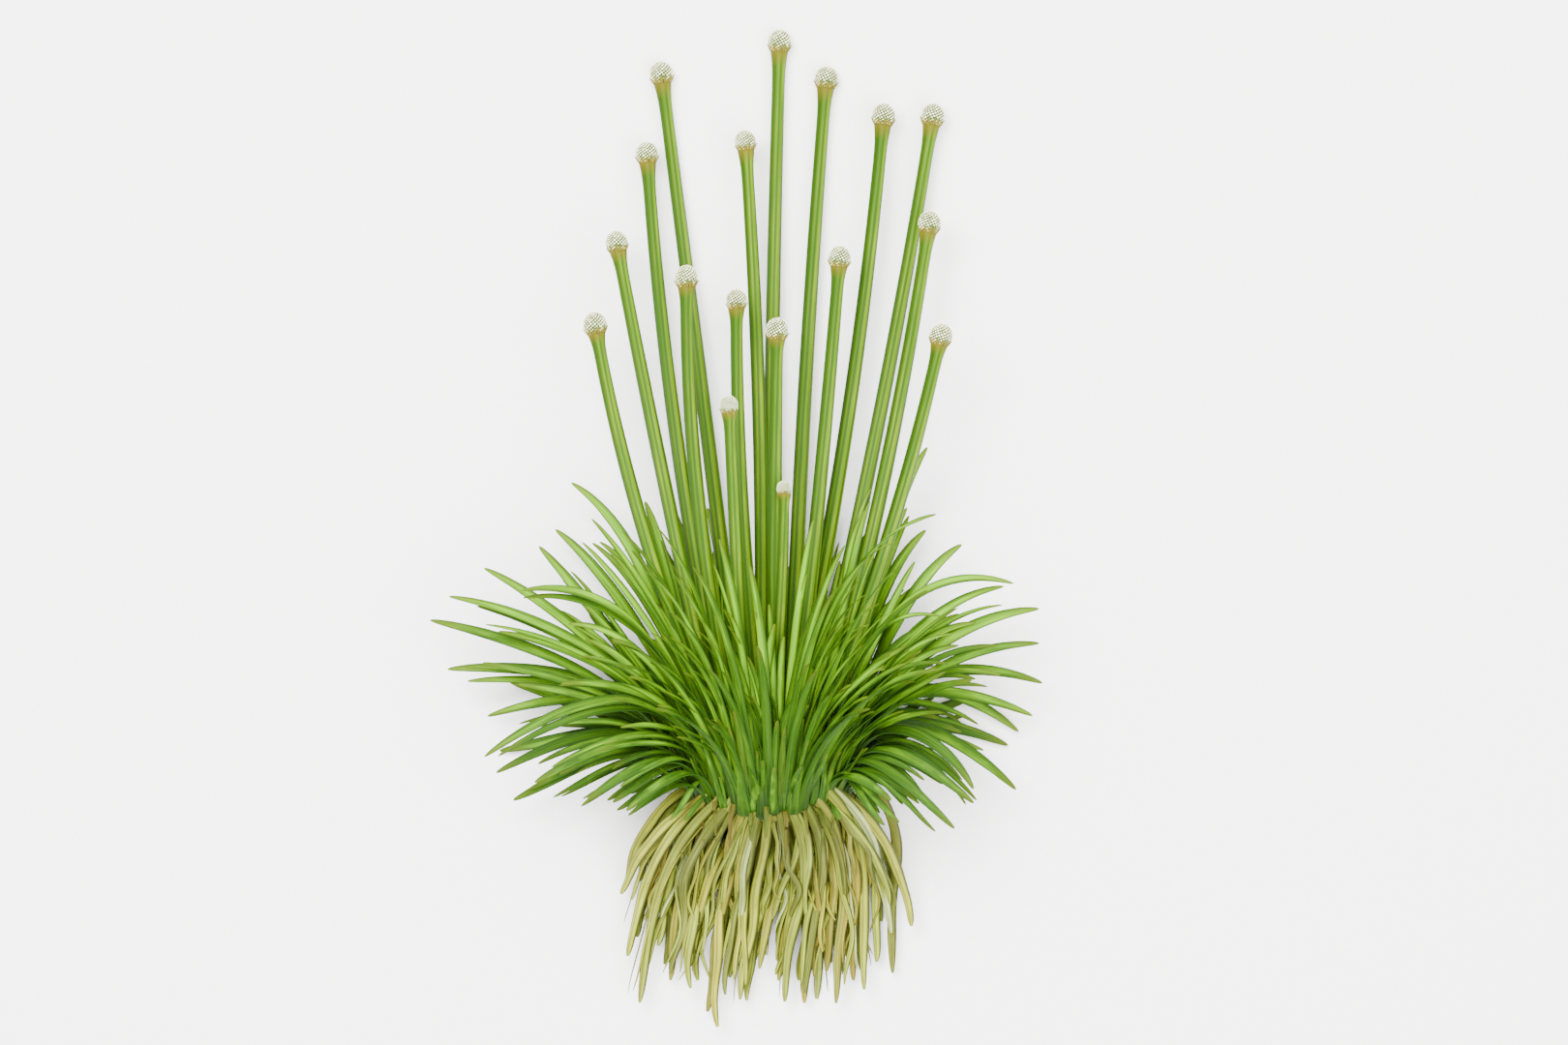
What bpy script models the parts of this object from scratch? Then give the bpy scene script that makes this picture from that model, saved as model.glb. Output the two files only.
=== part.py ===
"""An ashy pipewort, Eriocaulon cinereum: a small bog and aquarium plant, pulled up with its roots.

The plant is drawn standing: +Z runs up its flower stalks, +X to the right and +Y to the back. An empty
then lays it on its back on the table, so that in the world +Y runs along the stalks and +Z up from the
table. Lengths are in metres and angles in degrees. A tilt is the angle from the plant's axis: 0 is
straight up the stalks, 90 straight out and over 90 drooping. A bearing goes round the axis: 0 is right,
90 front, 180 left and 270 back.
"""

import math
import random
from collections import namedtuple

import bmesh
import bpy
from mathutils import Matrix, Vector

MM = 0.001

# The plant's axis lies this high above the table, on its lowest leaves and roots.
AXIS_HEIGHT = 14.0 * MM
# Neighbouring pieces keep at least this much air between them.
AIR = 0.3 * MM

# Crown: the short conical stem that carries the leaves, the stalks and the roots, as (radius, height).
CROWN_TOP = 1.7 * MM
CROWN_BOTTOM = -6.4 * MM
CROWN_RADIUS = 11.7 * MM
CROWN_PROFILE = [
    (0.0, CROWN_TOP),
    (7.2 * MM, CROWN_TOP),
    (8.7 * MM, 0.0),
    (CROWN_RADIUS, -4.3 * MM),
    (11.4 * MM, -5.0 * MM),
    (7.5 * MM, -6.0 * MM),
    (0.0, CROWN_BOTTOM),
]
CROWN_STEPS = 20

# Leaves: a blade with a broad clasping base, a narrower flat keel below and a blunt tip. The stations are
# shares of the leaf's length, each with its scale beside the base.
LEAF_WIDTH = 4.4 * MM
LEAF_THICKNESS = 1.0 * MM
LEAF_KEEL_SHARE = 0.5
LEAF_STATIONS = [(0.0, 1.0), (0.13, 0.76), (0.36, 0.63), (0.60, 0.57), (0.82, 0.42), (1.0, 0.16)]
# A leaf runs straight for this share of its reach before it bends, and for longer the more it bends. It
# comes straight into its tip for a part of that.
LEAF_STRAIGHT = 0.33
LEAF_STRAIGHT_PER_BEND = 0.066
TIP_STRAIGHT = 0.75
# A leaf that leans forward of the plant's axis twists its face forward, by up to TURN_FORWARD of the way.
# It has finished at TURN_BY of its length. LEAN_FROM and LEAN_TO say which leaves lean forward.
TURN_FORWARD = 0.55
TURN_BY = 0.8
LEAN_FROM = -0.4
LEAN_TO = 0.2
# It lies flat on the table below the first of these heights and stands free of it above the second.
LYING_HEIGHT = 2.5 * MM
FREE_HEIGHT = 9.0 * MM

# A whorl is a ring of leaves on the crown. Its rest is how high its leaves pass over the table.
Whorl = namedtuple("Whorl", "radius height step rest")
WHORLS = {
    "low": Whorl(12.8 * MM, -4.0 * MM, 11.9, 0.0),
    "outer": Whorl(11.3 * MM, -2.0 * MM, 11.6, 1.6 * MM),
    "middle": Whorl(9.8 * MM, 0.0, 15.2, 2.9 * MM),
    "inner": Whorl(8.3 * MM, 2.0 * MM, 18.4, 4.2 * MM),
}

# A leaf's tip is this far across, up the plant and forward of its axis, in millimetres, with the tilts of
# its base and its tip. A tuft's leaves go round from right to left in front, and their clasping bases
# have grown together. The bearing is that of the tuft's middle.
Tuft = namedtuple("Tuft", "whorl bearing leaves")
Leaf = namedtuple("Leaf", "across up forward base_tilt tip_tilt")
TUFTS = {
    "low_left": Tuft("low", 162, [
        Leaf(-22.8, -3.3, 14.0, 20, 128), Leaf(-29.1, -1.7, 12.0, 16, 125), Leaf(-37.5, 1.1, 9.0, 18, 120),
        Leaf(-43.7, 2.6, 4.0, 20, 118), Leaf(-41.1, -1.9, -4.0, 26, 114)]),
    "low_left_back": Tuft("low", 234, [
        Leaf(-43.4, 5.9, -13.0, 16, 100), Leaf(-35.5, 16.6, -14.0, 30, 72), Leaf(-28.0, 20.0, -14.0, 30, 60),
        Leaf(-17.5, 24.5, -14.0, 28, 42), Leaf(-8.0, 28.0, -14.0, 26, 20)]),
    "low_right_back": Tuft("low", 306, [
        Leaf(7.0, 29.0, -14.0, 26, 18), Leaf(16.0, 26.0, -14.0, 28, 40), Leaf(25.0, 21.0, -14.0, 30, 55),
        Leaf(32.5, 14.5, -14.0, 30, 74), Leaf(38.3, 6.8, -13.0, 14, 114)]),
    "low_right": Tuft("low", 18, [
        Leaf(39.5, -0.2, -3.0, 8, 134), Leaf(32.6, 0.0, 4.0, 6, 152), Leaf(32.6, -2.2, 8.0, 8, 130),
        Leaf(29.5, -6.2, 12.0, 8, 132), Leaf(19.4, -1.7, 13.0, 16, 128)]),
    "low_front": Tuft("low", 90, [
        Leaf(16.0, 13.0, 25.0, 22, 84), Leaf(7.5, 19.0, 24.0, 20, 66), Leaf(-2.0, 23.0, 23.0, 18, 56),
        Leaf(-10.0, 19.5, 24.0, 20, 68), Leaf(-18.0, 13.0, 25.0, 22, 86)]),
    "outer_left": Tuft("outer", 198, [
        Leaf(-54.3, 27.0, 3.0, 28, 78), Leaf(-51.6, 19.1, -4.0, 20, 94), Leaf(-45.3, 11.5, -9.0, 16, 108),
        Leaf(-41.9, 17.1, -13.0, 34, 72), Leaf(-29.0, 28.0, -13.0, 28, 48)]),
    "outer_back": Tuft("outer", 270, [
        Leaf(-20.0, 33.0, -13.0, 20, 38), Leaf(-10.5, 37.0, -13.0, 18, 20), Leaf(0.0, 38.0, -13.0, 20, 6),
        Leaf(9.5, 37.0, -13.0, 18, 18), Leaf(19.0, 34.0, -13.0, 20, 36)]),
    "outer_right": Tuft("outer", 342, [
        Leaf(29.0, 27.0, -13.0, 30, 50), Leaf(40.0, 9.0, -12.0, 8, 130), Leaf(42.2, 11.6, -8.0, 8, 114),
        Leaf(43.7, 16.9, -2.0, 10, 110), Leaf(43.1, 23.3, 5.0, 18, 90)]),
    "outer_left_front": Tuft("outer", 126, [
        Leaf(-12.2, 35.6, 26.0, 22, 58), Leaf(-16.3, 28.7, 26.0, 22, 72), Leaf(-25.0, 24.0, 26.0, 26, 84),
        Leaf(-33.0, 17.0, 24.0, 20, 96), Leaf(-45.4, 5.3, 15.0, 11, 126)]),
    "outer_right_front": Tuft("outer", 54, [
        Leaf(32.2, 17.5, 19.0, 22, 84), Leaf(29.9, 29.0, 19.0, 20, 64), Leaf(26.0, 19.0, 25.0, 22, 88),
        Leaf(25.1, 31.8, 22.0, 18, 64), Leaf(10.0, 31.0, 23.0, 18, 50)]),
    "middle_left": Tuft("middle", 180, [
        Leaf(-39.4, 31.8, 14.0, 16, 100), Leaf(-51.2, 30.8, 7.0, 24, 81), Leaf(-45.7, 35.3, 0.0, 31, 64),
        Leaf(-37.0, 38.8, -5.0, 30, 44), Leaf(-34.4, 41.5, -9.0, 24, 53)]),
    "middle_back": Tuft("middle", 270, [
        Leaf(-19.5, 42.0, -12.0, 22, 34), Leaf(-10.0, 45.0, -12.0, 18, 18), Leaf(0.5, 46.0, -12.0, 16, 6),
        Leaf(10.5, 45.0, -12.0, 18, 18), Leaf(20.0, 41.0, -12.0, 22, 34)]),
    "middle_right": Tuft("middle", 0, [
        Leaf(25.1, 41.4, -8.0, 22, 50), Leaf(30.8, 39.1, -4.0, 22, 58), Leaf(43.1, 28.8, 0.0, 22, 86),
        Leaf(37.4, 32.4, 6.0, 20, 82), Leaf(38.9, 32.9, 13.0, 12, 106)]),
    "middle_front": Tuft("middle", 90, [
        Leaf(21.0, 36.0, 21.0, 22, 60), Leaf(12.0, 39.0, 21.0, 16, 44), Leaf(-3.3, 36.1, 21.0, 12, 44),
        Leaf(-6.5, 28.0, 20.0, 18, 66), Leaf(-20.0, 35.0, 21.0, 22, 66)]),
    "inner_left_back": Tuft("inner", 225, [
        Leaf(-20.0, 46.0, -7.0, 20, 24), Leaf(-15.0, 44.0, -9.0, 16, 16), Leaf(-9.0, 38.0, -10.0, 14, 10),
        Leaf(-3.4, 36.0, -10.0, 10, 4)]),
    "inner_right_back": Tuft("inner", 315, [
        Leaf(3.4, 36.0, -10.0, 10, 4), Leaf(9.0, 38.0, -10.0, 14, 10), Leaf(15.0, 45.0, -9.0, 16, 18),
        Leaf(25.3, 54.7, -4.0, 24, 34)]),
    "inner_left_front": Tuft("inner", 135, [
        Leaf(-8.0, 40.0, 21.0, 8, 40), Leaf(-18.0, 42.0, 17.0, 14, 50), Leaf(-28.4, 43.2, 12.0, 22, 46),
        Leaf(-31.8, 49.0, -5.0, 22, 60)]),
    "inner_right_front": Tuft("inner", 45, [
        Leaf(22.0, 45.0, -3.0, 22, 32), Leaf(16.0, 46.0, 15.0, 14, 28), Leaf(26.5, 43.9, 23.0, 2, 80),
        Leaf(7.0, 43.0, 21.0, 8, 36)]),
}

# Flower stalks: where each foot stands in the bundle, then the middle of its head, as (across, up the
# plant, above the table), how far the stalk leans out per unit of height where it meets the head, and the
# head's size beside the largest. Lengths are in millimetres.
FOOT_PITCH = 3.12
ROW_PITCH = FOOT_PITCH * math.sqrt(3) / 2
Stalk = namedtuple("Stalk", "foot_column foot_row across up above lean size")
HEAD_WIDTH = 3.8 * MM
HEAD_LENGTH = 4.4 * MM
HEAD_SEAT = 0.34
ON_TABLE = 2.05
STALKS = [
    Stalk(0.0, 2, 1.6, 119.8, ON_TABLE, 0.03, 1.0),
    Stalk(-1.0, 2, -17.4, 114.7, ON_TABLE, -0.13, 1.0),
    Stalk(1.0, 2, 9.1, 113.9, ON_TABLE, 0.08, 1.0),
    Stalk(1.5, 1, 26.2, 107.9, 3.4, 0.16, 1.0),
    Stalk(0.5, 1, 18.3, 107.9, 5.0, 0.09, 1.0),
    Stalk(-0.5, 1, -3.9, 103.7, 6.4, -0.07, 0.92),
    Stalk(-1.5, 1, -19.7, 101.8, 4.4, -0.07, 0.96),
    Stalk(2.0, 0, 25.6, 90.5, 10.4, 0.15, 0.98),
    Stalk(-2.0, 0, -24.5, 87.4, 11.0, -0.19, 0.96),
    Stalk(1.0, 0, 11.2, 84.9, 16.0, 0.08, 0.96),
    Stalk(-1.0, 0, -13.3, 81.7, 18.6, 0.0, 0.98),
    Stalk(0.0, 0, -5.3, 78.1, 17.0, 0.0, 0.90),
    Stalk(0.5, -1, 1.2, 73.3, 24.0, 0.02, 0.96),
    Stalk(-1.5, -1, -27.9, 74.2, 18.0, -0.18, 1.0),
    Stalk(1.5, -1, 27.4, 72.4, 19.5, 0.22, 0.98),
    Stalk(-1.0, -2, -6.5, 61.2, 27.0, -0.05, 0.80),
    Stalk(0.0, -2, 2.3, 48.0, 24.6, 0.01, 0.62),
]
STALK_FOOT = CROWN_TOP + 2 * AIR
STALK_RADIUS = 1.27 * MM
# A stalk sinks towards the table at its head by this share of its whole slope, so it sags a little.
STALK_TOP_SLOPE = 0.8
STALK_STATIONS = [(0.0, 1.0), (0.3, 0.95), (0.62, 0.83), (0.95, 0.76), (1.0, 1.05)]

# Roots: three layers over one another, each a left and a right half whose collars have grown together.
# A layer's feet stand on an arc round the axis. Depth is how far behind the axis the middle of the arc is,
# half_width how far across its ends are, and sweep the angle from its middle to each end. The left half
# has split of the layer's roots. Tips are (across, up the plant) in millimetres, from left to right.
ROOT_RADIUS = 1.05 * MM
ROOT_STATIONS = [(0.0, 1.2), (0.2, 0.92), (0.42, 0.95), (0.64, 0.88), (0.84, 0.76), (1.0, 0.48)]
ROOT_FOOT = CROWN_BOTTOM - 2 * AIR
ROOT_RISE = 0.9 * MM
ROOT_SAG = 18.0 * MM
# A root leaves its collar leaning out by ROOT_SPREAD of its place beside the axis for each ROOT_DROP
# down. It is straight for ROOT_STRAIGHT of its reach at each end, comes in at its tip at TIP_SPREAD of
# its slope, and waves sideways by up to ROOT_WAVE.
ROOT_SPREAD = 1.2
ROOT_DROP = 9.0 * MM
ROOT_STRAIGHT = 0.38
TIP_SPREAD = 0.25
ROOT_WAVE = 0.5 * MM
Layer = namedtuple("Layer", "depth rest half_width sweep split tips")
ROOT_LAYERS = {
    "top": Layer(-10.3 * MM, 4.6 * MM, 8.9 * MM, 60, 6, [
        (-24.0, -17.0), (-22.8, -27.0), (-20.9, -34.5), (-15.8, -29.8), (-12.6, -32.2), (-8.2, -38.4),
        (-5.0, -34.0), (-1.6, -29.0), (2.4, -34.3), (5.7, -33.0), (10.4, -34.6), (15.2, -32.4),
        (19.7, -23.3), (22.8, -22.2)]),
    "middle": Layer(-1.2 * MM, 2.3 * MM, 10.6 * MM, 15, 8, [
        (-23.0, -16.0), (-21.6, -24.0), (-18.1, -25.4), (-16.0, -31.0), (-13.0, -29.0), (-10.0, -36.0),
        (-6.4, -30.5), (-3.4, -34.2), (1.2, -31.0), (5.4, -34.6), (9.0, -29.5), (13.4, -31.0),
        (17.0, -28.0), (19.8, -29.8)]),
    "bottom": Layer(6.3 * MM, 0.0, 8.8 * MM, 35, 7, [
        (-21.0, -15.0), (-19.0, -21.5), (-17.0, -28.4), (-14.6, -24.5), (-11.4, -31.0), (-8.4, -29.0),
        (-4.6, -33.0), (1.2, -28.5), (4.8, -31.0), (7.6, -34.0), (11.6, -27.0), (15.0, -29.5),
        (18.0, -21.5), (20.2, -16.0)]),
}

# Seen by everyone who looks at the plant: pigment and finish of each kind of piece.
MATERIALS = {
    "leaf_green": ((0.13, 0.30, 0.03), 0.45),
    "stalk_green": ((0.20, 0.38, 0.04), 0.42),
    "head_white": ((0.72, 0.74, 0.62), 0.80),
    "crown_brown": ((0.16, 0.17, 0.05), 0.70),
    "root_straw": ((0.46, 0.42, 0.16), 0.65),
}


def clear_scene():
    for obj in list(bpy.data.objects):
        bpy.data.objects.remove(obj)


def new_collection(name):
    collection = bpy.data.collections.new(name)
    bpy.context.scene.collection.children.link(collection)
    return collection


def new_material(name):
    colour, roughness = MATERIALS[name]
    material = bpy.data.materials.new(name)
    material.use_nodes = True
    shader = material.node_tree.nodes["Principled BSDF"]
    shader.inputs["Base Color"].default_value = (*colour, 1.0)
    shader.inputs["Roughness"].default_value = roughness
    shader.inputs["Metallic"].default_value = 0.0
    return material


def round_bearing(bearing):
    """The unit vector straight out of the axis at a bearing."""
    turn = math.radians(bearing)
    return Vector((math.cos(turn), -math.sin(turn), 0.0))


def heading(flat, tilt):
    """The direction at a tilt from the axis, leaning towards the level vector flat."""
    lean = math.radians(tilt)
    return flat.normalized() * math.sin(lean) + Vector((0.0, 0.0, math.cos(lean)))


def bezier(p0, p1, p2, p3, t):
    s = 1.0 - t
    return p0 * s**3 + p1 * (3 * s * s * t) + p2 * (3 * s * t * t) + p3 * t**3


def kept_off_table(point, clearance):
    """The point, raised smoothly where it would come nearer to the table than clearance."""
    soft = 2.5 * MM
    spare = AXIS_HEIGHT - point.y - clearance
    if spare < soft:
        spare = 0.0 if spare < -soft else (spare + soft) ** 2 / (4 * soft)
    return Vector((point.x, AXIS_HEIGHT - clearance - spare, point.z))


def tangents(points):
    """The direction at each point, halfway between the directions of the two stretches that meet there."""
    steps = [(b - a).normalized() for a, b in zip(points, points[1:])]
    inner = [(a + b).normalized() for a, b in zip(steps, steps[1:])]
    return [steps[0], *inner, steps[-1]]


def smooth_step(share):
    share = min(1.0, max(0.0, share))
    return share * share * (3 - 2 * share)


def across_part(vector, direction):
    return (vector - direction * vector.dot(direction)).normalized()


def blade_faces(points):
    """The way a blade's upper face looks at each station. At its base a blade faces up the plant. Further
    out it turns its face forward, and it lies flat where it comes down to the table."""
    faces = []
    for (along, scale), point, direction in zip(LEAF_STATIONS, points, tangents(points)):
        upward = across_part(Vector((0.0, 0.0, 1.0)), direction)
        forward = across_part(Vector((0.0, -1.0, 0.0)), direction)
        lying = smooth_step((FREE_HEIGHT - (AXIS_HEIGHT - point.y)) / (FREE_HEIGHT - LYING_HEIGHT))
        facing = TURN_FORWARD * smooth_step((upward.dot(forward) - LEAN_FROM) / (LEAN_TO - LEAN_FROM))
        share = max(lying, facing) * smooth_step(along / TURN_BY)
        faces.append(across_part(upward * (1 - share) + forward * share, direction))
    return faces


def turn_from_upright(face, direction):
    """The angle about direction from the way that faces up the plant to face."""
    upward = across_part(Vector((0.0, 0.0, 1.0)), direction)
    return math.atan2(upward.cross(face).dot(direction), upward.dot(face))


def section_curve(collection):
    """The leaf's cross-section: flat above, narrower and flat below."""
    half, keel, thick = LEAF_WIDTH / 2, LEAF_WIDTH / 2 * LEAF_KEEL_SHARE, LEAF_THICKNESS / 2
    curve = bpy.data.curves.new("leaf_section", "CURVE")
    curve.dimensions = "2D"
    spline = curve.splines.new("POLY")
    corners = [(half, thick), (keel, -thick), (-keel, -thick), (-half, thick)]
    spline.points.add(len(corners) - 1)
    for spot, (x, y) in zip(spline.points, corners):
        spot.co = (x, y, 0.0, 1.0)
    spline.use_cyclic_u = True
    section = bpy.data.objects.new("leaf_section", curve)
    section.hide_render = True
    section.display_type = "WIRE"
    collection.objects.link(section)
    return section


def swept(name, points, radii, collection, section=None, turns=None, depth=0.0, resolution=0):
    """A curve object along the points: a blade if it has a section, otherwise a rod."""
    curve = bpy.data.curves.new(name, "CURVE")
    curve.dimensions = "3D"
    curve.resolution_u = 1
    curve.use_fill_caps = True
    if section:
        curve.twist_mode = "Z_UP"
        curve.bevel_mode = "OBJECT"
        curve.bevel_object = section
    else:
        curve.bevel_depth = depth
        curve.bevel_resolution = resolution
    spline = curve.splines.new("POLY")
    spline.points.add(len(points) - 1)
    for k, spot in enumerate(spline.points):
        spot.co = (*points[k], 1.0)
        spot.radius = radii[k]
        spot.tilt = turns[k] if turns else 0.0
    obj = bpy.data.objects.new(name, curve)
    collection.objects.link(obj)
    return obj


def as_mesh(curve_object):
    """The curve object made a closed mesh object of the same name, its caps welded on."""
    graph = bpy.context.evaluated_depsgraph_get()
    mesh = bpy.data.meshes.new_from_object(curve_object.evaluated_get(graph))
    work = bmesh.new()
    work.from_mesh(mesh)
    bmesh.ops.remove_doubles(work, verts=work.verts, dist=0.001 * MM)
    bmesh.ops.recalc_face_normals(work, faces=work.faces)
    work.to_mesh(mesh)
    work.free()
    name, collection = curve_object.name, curve_object.users_collection[0]
    bpy.data.objects.remove(curve_object)
    obj = bpy.data.objects.new(name, mesh)
    collection.objects.link(obj)
    return obj


def grown_together(name, pieces):
    """The pieces joined into one object by Boolean unions."""
    base = pieces[0]
    for other in pieces[1:]:
        joint = base.modifiers.new("join", "BOOLEAN")
        joint.operation = "UNION"
        joint.object = other
    graph = bpy.context.evaluated_depsgraph_get()
    mesh = bpy.data.meshes.new_from_object(base.evaluated_get(graph))
    collection = base.users_collection[0]
    for piece in pieces:
        bpy.data.objects.remove(piece)
    obj = bpy.data.objects.new(name, mesh)
    collection.objects.link(obj)
    return obj


def leaf_line(whorl, bearing, leaf):
    """The middle line of a leaf, from its base on the crown to its tip, and the way its face looks."""
    start = round_bearing(bearing) * whorl.radius + Vector((0.0, 0.0, whorl.height))
    tip = Vector((leaf.across, -leaf.forward, leaf.up)) * MM
    reach = tip - start
    leaving = heading(round_bearing(bearing), leaf.base_tilt)
    arriving = heading(Vector((reach.x, reach.y, 0.0)), leaf.tip_tilt)
    pull = reach.length * (LEAF_STRAIGHT + LEAF_STRAIGHT_PER_BEND * leaving.angle(arriving) ** 2)
    first = start + leaving * pull
    last = tip - arriving * pull * TIP_STRAIGHT
    free = [bezier(start, first, last, tip, along) for along, scale in LEAF_STATIONS]
    faces = blade_faces(free)
    line = []
    for (along, scale), point, direction, face in zip(LEAF_STATIONS, free, tangents(free), faces):
        side = direction.cross(face)
        half_height = (LEAF_WIDTH * abs(side.y) + LEAF_THICKNESS * abs(face.y)) / 2 * scale
        line.append(kept_off_table(point, whorl.rest + half_height))
    return line, faces


def make_tuft(name, tuft, section, collection):
    whorl = WHORLS[tuft.whorl]
    pieces = []
    for k, leaf in enumerate(tuft.leaves):
        bearing = tuft.bearing + (k - (len(tuft.leaves) - 1) / 2) * whorl.step
        line, faces = leaf_line(whorl, bearing, leaf)
        scales = [scale for along, scale in LEAF_STATIONS]
        turns = [turn_from_upright(face, direction) for face, direction in zip(faces, tangents(line))]
        blade = swept(f"{name}_{k}", line, scales, collection, section, turns)
        pieces.append(as_mesh(blade))
    return grown_together(f"leaves_{name}", pieces)


def stalk_line(stalk):
    """The middle line of a stalk, from its foot to the bottom of its head, the head's middle and its axis."""
    foot = Vector((stalk.foot_column * FOOT_PITCH * MM, stalk.foot_row * ROW_PITCH * MM, STALK_FOOT))
    middle = Vector((stalk.across * MM, AXIS_HEIGHT - stalk.above * MM, stalk.up * MM))
    chord = middle - foot
    top_way = Vector((stalk.lean, chord.y / chord.z * STALK_TOP_SLOPE, 1.0)).normalized()
    end = middle - top_way * (HEAD_LENGTH * HEAD_SEAT * stalk.size + AIR)
    chord = end - foot
    foot_way = (chord.normalized() * 2 - top_way).normalized()
    pull = chord.length / 3
    return [
        bezier(foot, foot + foot_way * pull, end - top_way * pull, end, along)
        for along, scale in STALK_STATIONS
    ], middle, top_way


def make_stalk(number, stalk, collection):
    line, middle, way = stalk_line(stalk)
    slim = 0.6 + 0.4 * stalk.size
    radii = [scale * slim for along, scale in STALK_STATIONS]
    rod = swept(f"flower_stalk_{number:02d}", line, radii, collection, depth=STALK_RADIUS, resolution=1)
    return as_mesh(rod), middle, way


def make_head(number, stalk, middle, way, collection):
    """A button head: a ball of tiny flowers with a flat seat on the stalk."""
    mesh = bpy.data.meshes.new(f"flower_head_{number:02d}")
    work = bmesh.new()
    bmesh.ops.create_uvsphere(work, u_segments=8, v_segments=6, radius=0.5)
    for vert in work.verts:
        vert.co.x *= HEAD_WIDTH * stalk.size
        vert.co.y *= HEAD_WIDTH * stalk.size
        vert.co.z = max(vert.co.z, -HEAD_SEAT) * HEAD_LENGTH * stalk.size
    turn = Vector((0.0, 0.0, 1.0)).rotation_difference(way).to_matrix().to_4x4()
    bmesh.ops.transform(work, matrix=Matrix.Translation(middle) @ turn, verts=work.verts)
    work.to_mesh(mesh)
    work.free()
    head = bpy.data.objects.new(mesh.name, mesh)
    collection.objects.link(head)
    return head


def make_crown(collection):
    mesh = bpy.data.meshes.new("crown")
    work = bmesh.new()
    spots = [work.verts.new((radius, 0.0, height)) for radius, height in CROWN_PROFILE]
    for upper, lower in zip(spots, spots[1:]):
        work.edges.new((upper, lower))
    work.to_mesh(mesh)
    work.free()
    crown = bpy.data.objects.new("crown", mesh)
    collection.objects.link(crown)
    turned = crown.modifiers.new("turned", "SCREW")
    turned.steps = turned.render_steps = CROWN_STEPS
    turned.use_merge_vertices = True
    turned.merge_threshold = 0.01 * MM
    return crown


def root_line(layer, foot, tip, wave):
    """The middle line of a root. It spreads from its collar under the crown and sags until it lies level,
    on the table or over the layers below it."""
    reach = tip - foot
    pull = ROOT_STRAIGHT * reach.length
    first = foot + Vector((foot.x * ROOT_SPREAD, 0.0, -ROOT_DROP)).normalized() * pull
    last = tip - Vector((reach.x * TIP_SPREAD, 0.0, reach.z)).normalized() * pull
    line = []
    for along, scale in ROOT_STATIONS:
        point = bezier(foot, first, last, tip, along)
        point.x += wave * math.sin(along * 2 * math.pi) * along
        lowest = layer.rest + ROOT_RADIUS * scale
        left_to_fall = 1.0 - smooth_step((ROOT_FOOT - point.z) / ROOT_SAG)
        point.y = AXIS_HEIGHT - lowest - (AXIS_HEIGHT - foot.y - lowest) * left_to_fall
        line.append(point)
    return line


def make_roots(name, layer, collection, dice):
    """A layer's two tufts of roots."""
    pieces = []
    sweep = math.radians(layer.sweep)
    gap = ROOT_RADIUS + AIR
    for k, (across, up) in enumerate(layer.tips):
        turn = sweep * (2 * k / (len(layer.tips) - 1) - 1)
        place = layer.half_width * math.sin(turn) / math.sin(sweep)
        place += gap / 2 if k >= layer.split else -gap / 2
        depth = layer.depth * math.cos(turn)
        hollow = ROOT_RISE * (math.hypot(place, depth) / CROWN_RADIUS) ** 2
        foot = Vector((place, depth, ROOT_FOOT + hollow))
        tip = Vector((across * MM, 0.0, up * MM))
        line = root_line(layer, foot, tip, dice.uniform(-ROOT_WAVE, ROOT_WAVE))
        radii = [scale for along, scale in ROOT_STATIONS]
        rod = swept(f"{name}_{k}", line, radii, collection, depth=ROOT_RADIUS)
        pieces.append(as_mesh(rod))
    return [
        grown_together(f"roots_{name}_left", pieces[: layer.split]),
        grown_together(f"roots_{name}_right", pieces[layer.split :]),
    ]


def lay_down(pieces, collection):
    """Lays the plant on its back, on the table, with the middle of its box over the origin."""
    table = bpy.data.objects.new("laid_down", None)
    collection.objects.link(table)
    table.rotation_euler = (math.radians(-90), 0.0, 0.0)
    for piece in pieces:
        piece.parent = table
    bpy.context.view_layer.update()
    graph = bpy.context.evaluated_depsgraph_get()
    corners = [
        piece.matrix_world @ vert.co
        for piece in pieces
        for vert in piece.evaluated_get(graph).data.vertices
    ]
    low = Vector(min(corner[axis] for corner in corners) for axis in range(3))
    high = Vector(max(corner[axis] for corner in corners) for axis in range(3))
    table.location = (-(low.x + high.x) / 2, -(low.y + high.y) / 2, -low.z)


def finish(obj, material):
    obj.data.materials.clear()
    obj.data.materials.append(material)
    obj.data.shade_smooth()
    obj.data.set_sharp_from_angle(angle=math.radians(50))


def main():
    clear_scene()
    plant = new_collection("ashy_pipewort")
    guides = new_collection("guides")
    materials = {name: new_material(name) for name in MATERIALS}
    pieces = []

    crown = make_crown(plant)
    finish(crown, materials["crown_brown"])
    pieces.append(crown)

    section = section_curve(guides)
    for name, tuft in TUFTS.items():
        leaves = make_tuft(name, tuft, section, plant)
        finish(leaves, materials["leaf_green"])
        pieces.append(leaves)

    for number, stalk in enumerate(STALKS, start=1):
        rod, middle, way = make_stalk(number, stalk, plant)
        finish(rod, materials["stalk_green"])
        head = make_head(number, stalk, middle, way, plant)
        finish(head, materials["head_white"])
        pieces += [rod, head]

    dice = random.Random(4)
    for name, layer in ROOT_LAYERS.items():
        for roots in make_roots(name, layer, plant, dice):
            finish(roots, materials["root_straw"])
            pieces.append(roots)

    lay_down(pieces, plant)


main()
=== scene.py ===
"""An ashy pipewort, pulled up with its roots and laid on its back on a pale table, seen from straight above.

The world's +X is the plant's right, +Y runs up its flower stalks and +Z points off the table to the camera.
Lengths are in metres, or in millimetres where they are multiplied by MM. Angles are in degrees.
"""
import math
import random
from collections import namedtuple

import bpy
import bmesh
from mathutils import Matrix, Vector


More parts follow.
